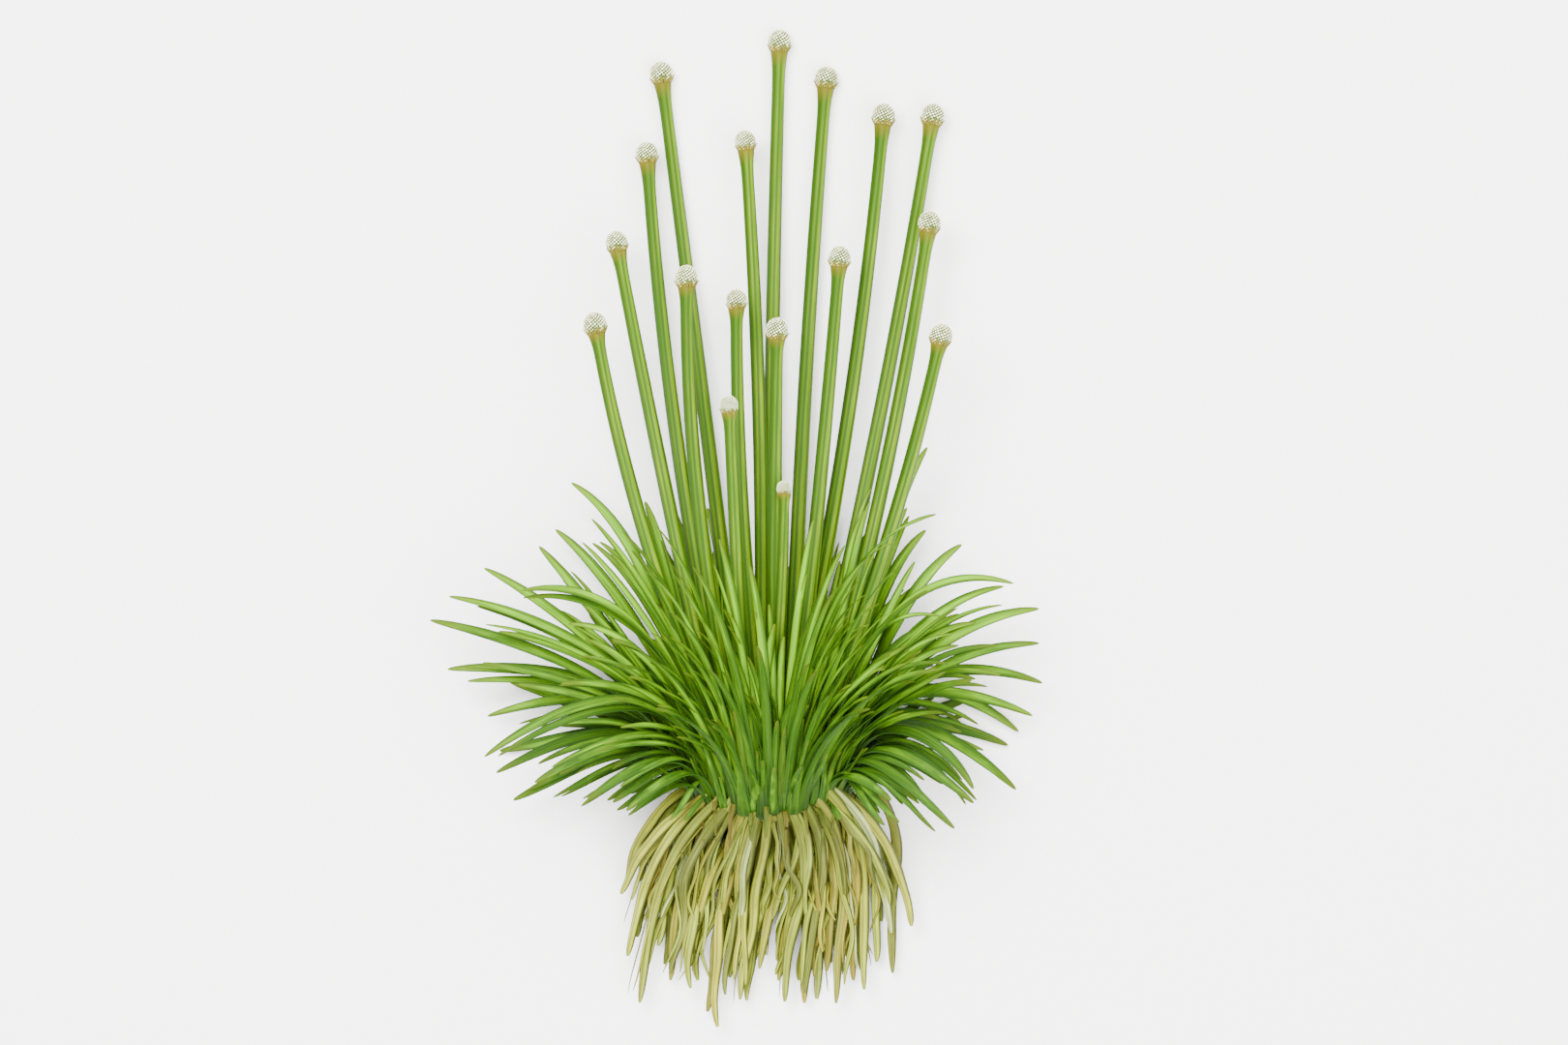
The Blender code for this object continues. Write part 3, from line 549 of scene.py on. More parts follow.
# Painted shade along both edges of the blade.
edge_shaded = washed(tree, fibres["Edge"], 0.9, shaded, (0.010, 0.036, 0.001))
tip = ranged(tree, fibres["Along"], 0.86, 1.0, 0.0, 0.7)
tipped = mixed(tree, tip, edge_shaded, (0.058, 0.078, 0.004))
brown = mixed(tree, fibres["Streak"], (0.014, 0.018, 0.002), (0.085, 0.060, 0.006))
tree.links.new(mixed(tree, attribute(tree, "withered"), tipped, brown), shader.inputs["Base Color"])
tree.links.new(ranged(tree, fibres["Height"], 0.0, 1.0, 0.42, 0.66), shader.inputs["Roughness"])
shader.inputs["Specular IOR Level"].default_value = 0.08
bumped(tree, shader, fibres["Height"], 0.6, 0.14 * MM)

# The leaves that grow forward are this much slimmer at most.
FRONT_SLIMMING = 0.28
# How many slim young leaves stand in each gap between two broad ones.
YOUNG_LEAVES = {"low": 5, "outer": 5, "middle": 5, "inner": 6}
# How broad the broad and the young leaves are, and how much of a broad leaf's reach the young ones have.
BROAD_BREADTHS = (0.9, 1.05)
YOUNG_BREADTHS = (0.4, 0.8)
YOUNG_REACHES = (0.6, 0.93)
# How far a young leaf's tip sways across and up the plant, in millimetres.
SWAY_ACROSS = 5.0
SWAY_UP = 3.5
# How far below and above their whorl the leaves leave the crown, in millimetres. The lowest whorl is the
# least even one.
DROPS = {"low": -2.2, "outer": -1.1, "middle": -1.1, "inner": -1.1}
BROAD_LIFT = 1.0
YOUNG_LIFT = 1.4
# How much a leaf's green differs from its whorl's.
BROAD_SHADES = (-0.25, 0.2)
YOUNG_SHADES = (-0.2, 0.0, 0.1, 0.7)


def front_slimming(bearing):
    """A leaf's breadth beside that of the leaves at the sides and the back."""
    return 1.0 - FRONT_SLIMMING * max(0.0, math.sin(math.radians(bearing)))


BLADE_SIZES = {
    "Width": LEAF_WIDTH, "Thickness": LEAF_THICKNESS, "Channel": LEAF_CHANNEL, "Corners": LEAF_CORNERS,
    "Tissue": leaf_tissue}
dice = random.Random(11)
for name, (whorl, middle, leaves) in TUFTS.items():
    step, depth, lowest = WHORLS[whorl].step, WHORLS[whorl].depth, DROPS[whorl]
    bearings = [middle + (k - (len(leaves) - 1) / 2) * step for k in range(len(leaves))]
    routes = []
    for bearing, leaf in zip(bearings, leaves):
        breadth = dice.uniform(*BROAD_BREADTHS) * front_slimming(bearing)
        routes.append(leaf_route(whorl, bearing, leaf, breadth, dice.uniform(lowest, BROAD_LIFT)))
    marks = [{"tone": dice.random(), "depth": depth + dice.uniform(*BROAD_SHADES)} for leaf in leaves]
    # Slimmer, shorter leaves stand between the broad ones, some of them swept across their neighbours.
    for k in range(len(leaves) - 1):
        for j in range(YOUNG_LEAVES[whorl]):
            share = (j + dice.uniform(0.1, 0.9)) / YOUNG_LEAVES[whorl]
            reach = dice.uniform(*YOUNG_REACHES)
            across, up, forward, *tilts = (a + (b - a) * share for a, b in zip(leaves[k], leaves[k + 1]))
            across = across * reach + dice.uniform(-SWAY_ACROSS, SWAY_ACROSS)
            up = up * reach + dice.uniform(-SWAY_UP, SWAY_UP)
            young = (across, up, forward * reach, *tilts)
            bearing = bearings[k] + step * share
            breadth = dice.uniform(*YOUNG_BREADTHS)
            routes.append(leaf_route(whorl, bearing, young, breadth, dice.uniform(lowest, YOUNG_LIFT)))
            marks.append({"tone": dice.random(), "depth": depth + dice.choice(YOUNG_SHADES)})
    tuft = grown(f"tuft_{name}", path_mesh(name, routes, marks), blade_tree, BLADE_SIZES)
    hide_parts(f"leaves_{name}")
    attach(tuft, "root")

# The first leaves. Short, dark old leaves and scales round the crown's foot, which the grown leaves have
# pushed out and down; their dark green is partly painted shade. Their bases clasp the crown, and they hide
# its rim and the tops of the roots. Every fourth one has withered and hangs.
FIRST_LEAVES = 110
HANGING_EVERY = 4
FIRST_LIFTS = (-2.0, 0.8)
# How deep their green is, which as on the low whorl paints them darker as shade, most of all at their feet.
FIRST_SHADES = (0.8, 1.4)
# A hanging and a standing one: how far out and up its tip is, in millimetres, the tilts of its base and its
# tip, its breadth, and how withered it can be.
HANGING = ((13.0, 14.5), (-12.0, -6.5), (110, 145), (150, 178), (0.18, 0.38), (0.5, 0.8, 1.0))
STANDING = ((13.5, 20.0), (2.0, 13.0), (5, 30), (20, 80), (0.35, 0.65), (0.0, 0.0, 0.15))
routes = []
marks = []
for k in range(FIRST_LEAVES):
    bearing = 360 * (k + dice.uniform(-0.4, 0.4)) / FIRST_LEAVES
    turn = math.radians(bearing)
    *spans, ages = HANGING if k % HANGING_EVERY == 0 else STANDING
    out, up, base_tilt, tip_tilt, breadth = (dice.uniform(*span) for span in spans)
    tip = (math.cos(turn) * out, up, math.sin(turn) * out, base_tilt, tip_tilt)
    routes.append(leaf_route("low", bearing, tip, breadth, dice.uniform(*FIRST_LIFTS)))
    withered = dice.choice(ages)
    marks.append({"tone": dice.random(), "depth": dice.uniform(*FIRST_SHADES), "withered": withered})
first_leaves = grown("first_leaves", path_mesh("first_leaves", routes, marks), blade_tree, BLADE_SIZES)
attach(first_leaves, "root")

# The flower stalks. Stiff, faintly fluted stems of green tissue that stand in a bundle on the crown. Each is
# twisted a little, thins upward and widens into a small cup under its head.
FOOT_PITCH = 3.12
ROW_PITCH = FOOT_PITCH * math.sqrt(3) / 2
HEAD_WIDTH = 3.8 * MM
HEAD_LENGTH = 4.4 * MM
HEAD_SEAT = 0.34
STALK_RADIUS = 1.27 * MM
STALK_SLOPE_AT_HEAD = 0.8
STALK_STATIONS = 36
STALK_CROWDING = 1.5
STALK_CORNERS = 36
# How thick a stalk is at each share of its length. The last few make the cup.
STALK_TAPER = [
    (0.0, 1.0), (0.3, 0.97), (0.62, 0.90), (0.955, 0.83), (0.980, 0.90), (0.993, 1.06), (1.0, 1.14)]
STALK_TWIST = 50
STALK_RIBS = 6.0
STALK_FLUTES = 0.09
STALK_IN_CROWN = 0.8 * MM
# The cup closes over inside the head, this far on and this much narrower.
CUP_CLOSE = 0.35 * MM
CUP_CLOSE_GIRTH = 0.75
ON_TABLE = 2.05
# Each stalk: its foot's column and row in the bundle, the middle of its head (across, up the plant and above
# the table, in millimetres), how far it leans out at the head, and the head's size beside the largest.
STALKS = [
    (0.0, 2, 1.6, 119.8, ON_TABLE, 0.03, 1.0),
    (-1.0, 2, -17.4, 114.7, ON_TABLE, -0.13, 1.0),
    (1.0, 2, 9.1, 113.9, ON_TABLE, 0.08, 1.0),
    (1.5, 1, 26.2, 107.9, 3.4, 0.16, 1.0),
    (0.5, 1, 18.3, 107.9, 5.0, 0.09, 1.0),
    (-0.5, 1, -3.9, 103.7, 6.4, -0.07, 0.92),
    (-1.5, 1, -19.7, 101.8, 4.4, -0.07, 0.96),
    (2.0, 0, 25.6, 90.5, 10.4, 0.15, 0.98),
    (-2.0, 0, -24.5, 87.4, 11.0, -0.19, 0.96),
    (1.0, 0, 11.2, 84.9, 16.0, 0.08, 0.96),
    (-1.0, 0, -13.3, 81.7, 18.6, 0.0, 0.98),
    (0.0, 0, -5.3, 78.1, 17.0, 0.0, 0.90),
    (0.5, -1, 1.2, 73.3, 24.0, 0.02, 0.96),
    (-1.5, -1, -27.9, 74.2, 18.0, -0.18, 1.0),
    (1.5, -1, 27.4, 72.4, 19.5, 0.22, 0.98),
    (-1.0, -2, -6.5, 61.2, 27.0, -0.05, 0.80),
    (0.0, -2, 2.3, 48.0, 24.6, 0.01, 0.62),
]

rod_tree, rod = new_tree("rod_along_a_path", {
    "Radius": "Float", "Flatness": "Float", "Corners": "Int", "Flutes": "Float", "Flute depth": "Float",
    "Tissue": "Material"})


def rod_profile(cosine, sine):
    """A circle with shallow flutes round it, pressed a little flat."""
    turn = calc(rod_tree, "MULTIPLY", calc(rod_tree, "ARCTAN2", sine, cosine), rod["Flutes"])
    wave = calc(rod_tree, "MULTIPLY_ADD", calc(rod_tree, "COSINE", turn), 0.5, 0.5)
    dip = calc(rod_tree, "MULTIPLY", wave, rod["Flute depth"])
    radius = calc(rod_tree, "MULTIPLY", calc(rod_tree, "SUBTRACT", 1.0, dip), rod["Radius"])
    thick = calc(rod_tree, "MULTIPLY", calc(rod_tree, "SUBTRACT", 1.0, rod["Flatness"]), radius)
    return calc(rod_tree, "MULTIPLY", sine, thick), calc(rod_tree, "MULTIPLY", cosine, radius)


path, along = marked_path(rod_tree, rod["Geometry"])
swept_skin(rod_tree, path, along, rod["Corners"], rod_profile, rod["Tissue"])

stalk_tissue, tree, shader = new_material("stalk_tissue")
fibres = streaked(tree, 3.5, 9.0, 0.62, STALK_RIBS)
bright = mixed(tree, fibres["Streak"], (0.050, 0.126, 0.001), (0.140, 0.215, 0.001))
# Painted shade in the stalk's furrows.
furrow_shaded = washed(tree, fibres["Furrow"], 0.85, bright, (0.0146, 0.054, 0.0012))
# Painted shade on one half of the stalk.
side_shaded = washed(tree, fibres["Side"], 0.45, furrow_shaded, (0.0123, 0.048, 0.0008))
# Painted shade along both flanks, which leaves the middle of the stalk lighter.
edge_shaded = washed(tree, fibres["Edge"], 0.8, side_shaded, (0.016, 0.046, 0.001))
aged = washed(tree, fibres["Blotch"], 0.4, edge_shaded, (0.0168, 0.06, 0.0012))
cup = ranged(tree, fibres["Along"], 0.975, 0.997, 0.0, 0.85)
tree.links.new(mixed(tree, cup, aged, (0.0952, 0.075, 0.004)), shader.inputs["Base Color"])
tree.links.new(ranged(tree, fibres["Height"], 0.0, 1.0, 0.42, 0.62), shader.inputs["Roughness"])
shader.inputs["Specular IOR Level"].default_value = 0.07
bumped(tree, shader, fibres["Height"], 0.5, 0.1 * MM)


def stalk_route(column, row, across, up, above, lean, size):
    """The middle line of a stalk with its face and girth, the middle of its head and the way it looks."""
    foot = ORIGIN + Vector((column * FOOT_PITCH * MM, CROWN_TOP - STALK_IN_CROWN, -row * ROW_PITCH * MM))
    middle = Vector((ORIGIN.x + across * MM, ORIGIN.y + up * MM, above * MM))
    chord = middle - foot
    way = Vector((lean, 1.0, chord.z / chord.y * STALK_SLOPE_AT_HEAD)).normalized()
    end = middle - way * HEAD_LENGTH * HEAD_SEAT * size
    chord = end - foot
    foot_way = (chord.normalized() * 2 - way).normalized()
    pull = chord.length / 3
    shares = [1 - (1 - k / (STALK_STATIONS - 1)) ** STALK_CROWDING for k in range(STALK_STATIONS)]
    line = [bezier(foot, foot + foot_way * pull, end - way * pull, end, share) for share in shares]
    twists = [math.radians(STALK_TWIST * share) for share in shares]
    faces = [
        across_part(FORWARD * math.cos(twist) + Vector((1.0, 0.0, 0.0)) * math.sin(twist), direction)
        for twist, direction in zip(twists, tangents(line))
    ]
    slim = 0.6 + 0.4 * size
    girths = [between(STALK_TAPER, share) * slim for share in shares]
    line.append(end + way * CUP_CLOSE)
    return (line, [*faces, faces[-1]], [*girths, girths[-1] * CUP_CLOSE_GIRTH]), middle, way


head_places = []
for number, stalk in enumerate(STALKS, start=1):
    route, middle, way = stalk_route(*stalk)
    head_places.append((middle, way, stalk[-1]))
    path = path_mesh(f"stalk_{number:02d}", [route], [{"tone": dice.random()}])
    stem = grown(f"stalk_{number:02d}", path, rod_tree, {
        "Radius": STALK_RADIUS, "Corners": STALK_CORNERS, "Flutes": STALK_RIBS, "Flute depth": STALK_FLUTES,
        "Tissue": stalk_tissue})
    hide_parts(f"flower_stalk_{number:02d}")
    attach(stem, "root")

# The flower heads. Each stalk ends in a button of tiny flowers with papery white lips, packed in spirals. A
# ring of slim, green-brown bracts holds it from below, grown onto the stalk's cup.
BUTTON_FLORETS = 210
BUTTON_COVER = 0.74
BUTTON_CORE = 0.82
CORE_SIDES = 24
CORE_RINGS = 14
GOLDEN_TURN = 2.399963
# A scale is a floret or a bract. Its size is beside the button's width, its stance is how far it turns up
# the axis, and its shape is its half width, half thickness and half length beside its size.
SCALE_SIDES = 6
SCALE_RINGS = 4
SCALE_OUT = 0.35
FLORET_SIZE = 0.075
FLORET_STANCE = 0.2
FLORET_SHAPE = (0.85, 0.58, 1.0)
CUP_BRACTS = 12
BRACT_SIZE = 0.17
BRACT_STANCE = 2.4
BRACT_SHAPE = (0.42, 0.16, 1.3)
BRACT_RADIUS = 0.98
BRACT_HEIGHT = -0.66

button_tree, button = new_tree("button_of_florets", {
    "Width": "Float", "Length": "Float", "Florets": "Int", "Bracts": "Int", "Cover": "Float", "Seed": "Int",
    "Chaff": "Material"})


def scale_ring(tree, count, height, radius, stance, size, shape, tag):
    """The nodes that set papery scales round the button. Height and radius are shares of the button's half
    length and half width, and tag is the height that the scales are marked with."""
    index = add(tree, "GeometryNodeInputIndex").outputs[0]
    turn = calc(tree, "MULTIPLY", index, GOLDEN_TURN)
    outward = add(tree, "ShaderNodeCombineXYZ", {
        "X": calc(tree, "MULTIPLY", calc(tree, "COSINE", turn), radius),
        "Y": calc(tree, "MULTIPLY", calc(tree, "SINE", turn), radius), "Z": height}).outputs[0]
    spread = add(tree, "ShaderNodeCombineXYZ", {
        "X": calc(tree, "MULTIPLY", button["Width"], BUTTON_CORE / 2),
        "Y": calc(tree, "MULTIPLY", button["Width"], BUTTON_CORE / 2),
        "Z": calc(tree, "MULTIPLY", button["Length"], BUTTON_CORE / 2)}).outputs[0]
    spot = add(tree, "ShaderNodeVectorMath", {0: outward, 1: spread}, operation="MULTIPLY").outputs[0]
    row = add(tree, "GeometryNodeMeshLine", {"Count": count})
    points = add(tree, "GeometryNodeSetPosition", {"Geometry": row.outputs[0], "Position": spot}).outputs[0]
    chance = add(tree, "FunctionNodeRandomValue", {"Seed": button["Seed"]}, data_type="FLOAT").outputs[1]
    points = stored(tree, points, "tone", chance)
    points = stored(tree, points, "height", tag)
    turned_up = {0: outward, 1: (0.0, 0.0, stance)}
    upward = add(tree, "ShaderNodeVectorMath", turned_up, operation="ADD").outputs[0]
    stand = add(tree, "FunctionNodeAxesToRotation", {"Primary Axis": upward, "Secondary Axis": outward},
                primary_axis="Z", secondary_axis="Y")
    ball = add(tree, "GeometryNodeMeshUVSphere", {
        "Segments": SCALE_SIDES, "Rings": SCALE_RINGS, "Radius": 1.0})
    spot = add(tree, "ShaderNodeSeparateXYZ", {0: add(tree, "GeometryNodeInputPosition").outputs[0]})
    rise = calc(tree, "MULTIPLY_ADD", spot.outputs["Z"], 0.5, 0.5)
    scale = add(tree, "GeometryNodeTransform", {
        "Geometry": stored(tree, ball.outputs[0], "rise", rise), "Translation": (0.0, 0.0, SCALE_OUT),
        "Scale": shape})
    length = calc(tree, "MULTIPLY", button["Width"], size)
    grow = calc(tree, "MULTIPLY", length, calc(tree, "MULTIPLY_ADD", chance, 0.35, 0.8))
    scales = add(tree, "GeometryNodeInstanceOnPoints", {
        "Points": points, "Instance": scale.outputs[0], "Rotation": stand.outputs[0], "Scale": grow})
    return scales.outputs[0]


index = add(button_tree, "GeometryNodeInputIndex").outputs[0]
share = calc(button_tree, "DIVIDE", calc(button_tree, "ADD", index, 0.5), button["Florets"])
drop = calc(button_tree, "MULTIPLY", share, calc(button_tree, "ADD", 1.0, button["Cover"]))
height = calc(button_tree, "SUBTRACT", 1.0, drop)
square = calc(button_tree, "MULTIPLY", height, height)
radius = calc(button_tree, "SQRT", calc(button_tree, "SUBTRACT", 1.0, square))
florets = scale_ring(
    button_tree, button["Florets"], height, radius, FLORET_STANCE, FLORET_SIZE, FLORET_SHAPE, height)
low_height = add(button_tree, "ShaderNodeValue").outputs[0]
low_height.default_value = BRACT_HEIGHT
bracts = scale_ring(
    button_tree, button["Bracts"], low_height, BRACT_RADIUS, BRACT_STANCE, BRACT_SIZE, BRACT_SHAPE,
    low_height)
core_ball = add(button_tree, "GeometryNodeMeshUVSphere", {
    "Segments": CORE_SIDES, "Rings": CORE_RINGS, "Radius": BUTTON_CORE / 2})
core_size = add(button_tree, "ShaderNodeCombineXYZ", {
    "X": button["Width"], "Y": button["Width"], "Z": button["Length"]})
core = add(button_tree, "GeometryNodeTransform", {
    "Geometry": core_ball.outputs[0], "Scale": core_size.outputs[0]})
joined = button_tree.nodes.new("GeometryNodeJoinGeometry")
for part in (core.outputs[0], florets, bracts):
    button_tree.links.new(part, joined.inputs[0])
whole = add(button_tree, "GeometryNodeRealizeInstances", {"Geometry": joined.outputs[0]})
smooth = add(button_tree, "GeometryNodeSetShadeSmooth", {"Geometry": whole.outputs[0]})
dressed = add(button_tree, "GeometryNodeSetMaterial", {
    "Geometry": smooth.outputs[0], "Material": button["Chaff"]})
add(button_tree, "NodeGroupOutput", {0: dressed.outputs[0]})

button_chaff, tree, shader = new_material("button_chaff")
height = attribute(tree, "height")
tone = attribute(tree, "tone")
lip = ranged(tree, attribute(tree, "rise"), 0.67, 0.88, eased=True)
white = mixed(tree, tone, (0.76, 0.77, 0.42), (0.95, 0.95, 0.66))
# The lower part of each floret is grey-green: partly the floret's own colour and partly painted shade in the
# crevices between the florets.
grey_green = mixed(tree, tone, (0.045, 0.085, 0.010), (0.110, 0.175, 0.030))
floret = mixed(tree, lip, grey_green, white)
bract = mixed(tree, lip, (0.105, 0.095, 0.006), (0.060, 0.100, 0.012))
ochre = mixed(tree, tone, (0.17, 0.13, 0.012), (0.38, 0.30, 0.07))
flower = mixed(tree, ranged(tree, height, -0.6, -0.1, eased=True), ochre, floret)
is_flower = calc(tree, "GREATER_THAN", height, BRACT_HEIGHT + 0.005)
tree.links.new(mixed(tree, is_flower, bract, flower), shader.inputs["Base Color"])
shader.inputs["Specular IOR Level"].default_value = 0.2
shader.inputs["Roughness"].default_value = 0.85
place = add(tree, "ShaderNodeTexCoord")
crinkle = add(tree, "ShaderNodeTexNoise", {"Vector": place.outputs["Object"], "Scale": 5000.0, "Detail": 2.0})
bumped(tree, shader, crinkle.outputs["Fac"], 0.4, 0.05 * MM)

for number, (middle, way, size) in enumerate(head_places, start=1):
    seed = bpy.data.meshes.new(f"button_{number:02d}_seed")
    head = grown(f"button_{number:02d}", seed, button_tree, {
        "Width": HEAD_WIDTH * size, "Length": HEAD_LENGTH * size, "Florets": BUTTON_FLORETS,
        "Bracts": CUP_BRACTS, "Cover": BUTTON_COVER, "Seed": number, "Chaff": button_chaff})
    turn = Vector((0.0, 0.0, 1.0)).rotation_difference(way).to_matrix().to_4x4()
    head.data.transform(Matrix.Translation(middle) @ turn)
    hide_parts(f"flower_head_{number:02d}")
    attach(head, "root")

# The roots. Soft, straw-coloured straps in three layers, which break out round the crown's foot among the
# oldest leaves, spread and sag onto the table. Thinner ones and a few dead, dark rootlets fill the gaps
# between the thick ones.
ROOT_RADIUS = 1.05 * MM
ROOT_FLATNESS = 0.35
ROOT_FURROWS = 5.0
ROOT_FLUTES = 0.14
ROOT_CORNERS = 16
ROOT_STATIONS = 34
# How thick a root is at each share of its length.
ROOT_TAPER = [(0.0, 0.84), (0.2, 0.84), (0.42, 0.88), (0.64, 0.82), (0.84, 0.70), (0.96, 0.50), (1.0, 0.22)]
ROOT_FOOT = CROWN_BOTTOM - 0.6 * MM
ROOT_RISE = 0.9 * MM
ROOT_SAG = 18.0 * MM
ROOT_SPREAD = 1.2
ROOT_DROP = 9.0 * MM
ROOT_STRAIGHT = 0.38
TIP_SPREAD = 0.4
ROOT_WAVE = 0.5 * MM
# A root's collar stands this far outside its solid's and this much higher at the crown's rim.
COLLAR_OUT = 1.7 * MM
COLLAR_UP = 3.8 * MM
# It stands further out and higher still at the plant's sides.
SIDE_OUT = 0.6 * MM
SIDE_UP = 3.4 * MM
# Above its collar a root runs on into the crown.
INTO_CROWN = 0.8
ABOVE_COLLAR = 1.2 * MM
# Each layer: how far behind the axis the middle of its arc of feet is, how high it rests, how far across the
# arc's ends are, its sweep from its middle to each end, how many of its roots make the left half, how many
# thin roots it has, and the tips (across, up the plant) from left to right, in millimetres.
ROOT_LAYERS = {
    "top": (-10.3, 4.6, 8.9, 60, 6, 52, [
        (-24.0, -17.0), (-22.8, -27.0), (-20.9, -34.5), (-15.8, -29.8), (-12.6, -32.2), (-8.2, -38.4),
        (-5.0, -34.0), (-1.6, -29.0), (2.4, -34.3), (5.7, -33.0), (10.4, -34.6), (15.2, -32.4),
        (19.7, -23.3), (22.8, -22.2)]),
    "middle": (-1.2, 2.3, 10.6, 15, 8, 34, [
        (-23.0, -16.0), (-21.6, -24.0), (-18.1, -25.4), (-16.0, -31.0), (-13.0, -29.0), (-10.0, -36.0),
        (-6.4, -30.5), (-3.4, -34.2), (1.2, -31.0), (5.4, -34.6), (9.0, -29.5), (13.4, -31.0),
        (17.0, -28.0), (19.8, -29.8)]),
    "bottom": (6.3, 0.0, 8.8, 35, 7, 30, [
        (-21.0, -15.0), (-19.0, -21.5), (-17.0, -28.4), (-14.6, -24.5), (-11.4, -31.0), (-8.4, -29.0),
        (-4.6, -33.0), (1.2, -28.5), (4.8, -31.0), (7.6, -34.0), (11.6, -27.0), (15.0, -29.5),
        (18.0, -21.5), (20.2, -16.0)]),
}


def root_route(depth, rest, place, tip, wave, girth, collar):
    """The middle line of a root with its face and girth. It spreads from the crown's foot and sags until it
    lies level, on the table or over the layers below it."""
    rim = math.hypot(place, depth) / CROWN_RADIUS
    flank = (abs(place) / CROWN_RADIUS) ** 3
    out = Vector((place, -depth)).normalized() * (COLLAR_OUT * rim**2 + SIDE_OUT * flank)
    place, depth = place + out.x, depth - out.y
    foot = Vector((place, ROOT_FOOT + (ROOT_RISE + COLLAR_UP) * rim**2 + SIDE_UP * flank + collar))
    end = Vector(tip)
    reach = end - foot
    pull = ROOT_STRAIGHT * reach.length
    first = foot + Vector((place * ROOT_SPREAD, -ROOT_DROP)).normalized() * pull
    last = end - Vector((reach.x * TIP_SPREAD, reach.y)).normalized() * pull
    line = [ORIGIN + Vector((place * INTO_CROWN, foot.y + ABOVE_COLLAR, -depth * INTO_CROWN))]
    girths = [girth * ROOTED_GIRTH]
    for k in range(ROOT_STATIONS):
        share = k / (ROOT_STATIONS - 1)
        flat = bezier(foot, first, last, end, share)
        thick = girth * between(ROOT_TAPER, share) * (1 + 0.08 * math.sin(share * 17 + place * 900))
        lowest = rest + ROOT_RADIUS * thick
        left_to_fall = 1.0 - smooth_step((foot.y - flat.y) / ROOT_SAG)
        drop = (ORIGIN.z - depth - lowest) * left_to_fall
        sway = wave * (math.sin(share * 2 * math.pi) + 0.5 * math.sin(share * 14 + wave / MM * 5)) * share
        line.append(Vector((ORIGIN.x + flat.x + sway, ORIGIN.y + flat.y, lowest + drop)))
        girths.append(thick)
    faces = [across_part(FORWARD, direction) for direction in tangents(line)]
    return line, faces, girths


# From dead and dark to fresh and pale. A root's tone picks its place among these.
ROOT_COLOURS = [
    (0.0, (0.024, 0.030, 0.003)), (0.12, (0.055, 0.072, 0.005)), (0.26, (0.310, 0.195, 0.008)),
    (0.40, (0.148, 0.190, 0.010)), (0.58, (0.240, 0.292, 0.014)), (0.70, (0.355, 0.300, 0.016)),
    (0.84, (0.280, 0.362, 0.024)), (1.0, (0.440, 0.540, 0.260))]
root_skin, tree, shader = new_material("root_skin")
fibres = streaked(tree, 4.0, 3.0, 0.5, ROOT_FURROWS)
kind = add(tree, "ShaderNodeValToRGB", {"Fac": fibres["Tone"]})
kind.color_ramp.elements[0].color = (*ROOT_COLOURS[0][1], 1.0)
kind.color_ramp.elements[1].color = (*ROOT_COLOURS[-1][1], 1.0)
for stop, colour in ROOT_COLOURS[1:-1]:
    kind.color_ramp.elements.new(stop).color = (*colour, 1.0)
pale = washed(tree, fibres["Streak"], 0.5, kind.outputs[0], (0.350, 0.420, 0.075))
stained = washed(tree, fibres["Blotch"], 0.5, pale, (0.065, 0.060, 0.003))
# Painted shade in the root's furrows.
furrow_shaded = washed(tree, fibres["Furrow"], 0.6, stained, (0.056, 0.062, 0.005))
# Painted shade along both flanks of the root.
rim_shaded = washed(tree, fibres["Edge"], 0.92, furrow_shaded, (0.026, 0.032, 0.004))
# Painted shade: each root is darker near the crown, where it comes out from under the leaves.
collar = ranged(tree, fibres["Along"], 0.03, 0.36, 0.78, 0.0)
tree.links.new(mixed(tree, collar, rim_shaded, (0.036, 0.048, 0.003)), shader.inputs["Base Color"])
tree.links.new(ranged(tree, fibres["Height"], 0.0, 1.0, 0.5, 0.8), shader.inputs["Roughness"])
shader.inputs["Specular IOR Level"].default_value = 0.1
bumped(tree, shader, fibres["Height"], 0.7, 0.2 * MM)

# The left and the right half of a layer stand this far apart at the crown, in millimetres.
HALF_GAP = ROOT_RADIUS / MM + 0.3
# How thick the thin and the dead roots are beside a thick one, and how much of its reach they have.
THIN_GIRTHS = (0.25, 0.75)
THIN_REACHES = (0.6, 0.97)
DEAD_ROOTS = 5
DEAD_GIRTH = 0.16
DEAD_REACH = 0.99
# How much a thick and a thin root wave, and how far a thin one's tip strays across, its foot strays in depth
# and it lies above its layer, in millimetres.
THICK_WAVE = 2.0
THIN_WAVE = 2.6
TIP_STRAY = 2.4
FOOT_STRAY = 0.8
THIN_LIFTS = (0.0, 1.2)
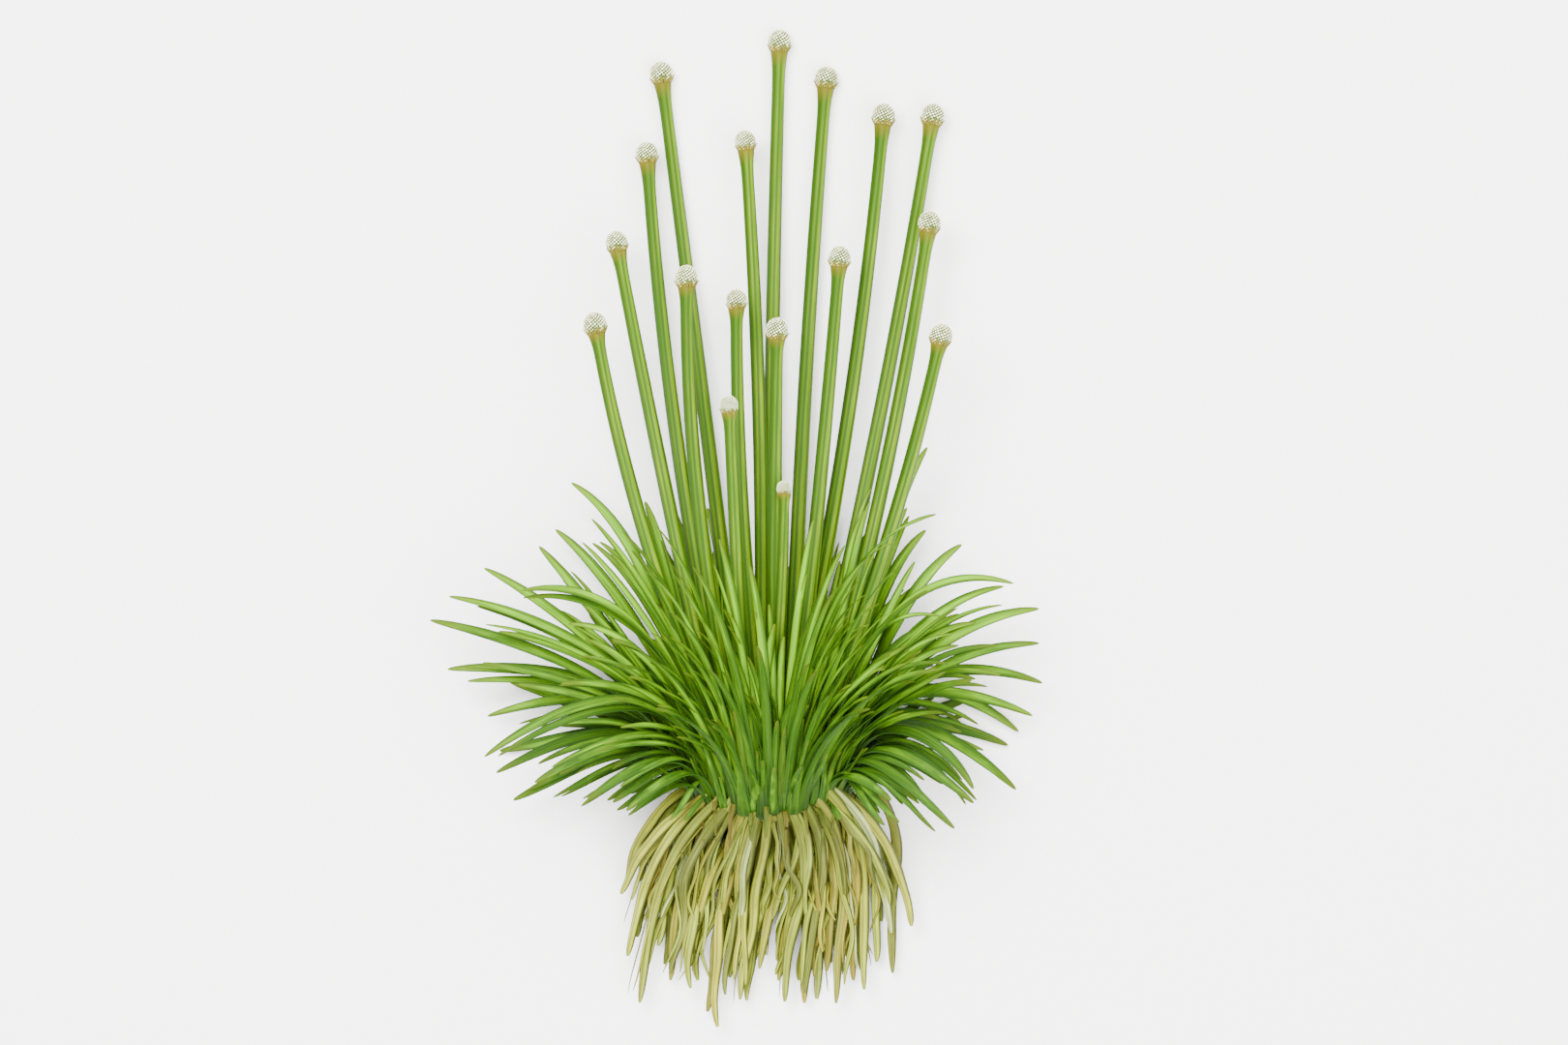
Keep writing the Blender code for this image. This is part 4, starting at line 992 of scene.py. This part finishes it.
# How much lower or higher than the others a root's collar stands, in millimetres.
COLLARS = (-1.0, 2.4)
for name, (depth, rest, half_width, sweep, split, thin_roots, tips) in ROOT_LAYERS.items():
    halves = {"left": ([], []), "right": ([], [])}
    last = len(tips) - 1
    sweep = math.radians(sweep)
    spots = [(float(k), 1.0, 1.0) for k in range(len(tips))]
    spots += [
        (dice.uniform(0.0, last), dice.uniform(*THIN_GIRTHS), dice.uniform(*THIN_REACHES))
        for k in range(thin_roots)
    ]
    spots += [(dice.uniform(0.0, last), DEAD_GIRTH, DEAD_REACH) for k in range(DEAD_ROOTS)]
    for spot, girth, reach in spots:
        k = min(int(spot), last - 1)
        tip = Vector(tips[k]).lerp(Vector(tips[k + 1]), spot - k) * reach
        turn = sweep * (2 * spot / last - 1)
        place = half_width * math.sin(turn) / math.sin(sweep)
        side = "right" if spot > split - 0.5 else "left"
        if girth == 1.0:
            place += HALF_GAP / 2 if side == "right" else -HALF_GAP / 2
            wave, loose, lift = dice.uniform(-THICK_WAVE, THICK_WAVE), 0.0, 0.0
        else:
            wave = dice.uniform(-THIN_WAVE, THIN_WAVE)
            loose = dice.uniform(-FOOT_STRAY, FOOT_STRAY)
            lift = dice.uniform(*THIN_LIFTS)
            tip.x += dice.gauss(0.0, TIP_STRAY)
        strand = root_route(
            (depth * math.cos(turn) + loose) * MM, (rest + lift) * MM, place * MM, tip * MM, wave * ROOT_WAVE,
            girth, dice.uniform(*COLLARS) * MM)
        halves[side][0].append(strand)
        halves[side][1].append({"tone": 0.0 if girth == DEAD_GIRTH else dice.random()})
    for side, (strands, marks) in halves.items():
        paths = path_mesh(f"strands_{name}_{side}", strands, marks)
        roots = grown(f"roots_{name}_{side}_strands", paths, rod_tree, {
            "Radius": ROOT_RADIUS, "Flatness": ROOT_FLATNESS, "Corners": ROOT_CORNERS, "Flutes": ROOT_FURROWS,
            "Flute depth": ROOT_FLUTES, "Tissue": root_skin})
        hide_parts(f"roots_{name}_{side}")
        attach(roots, "root")
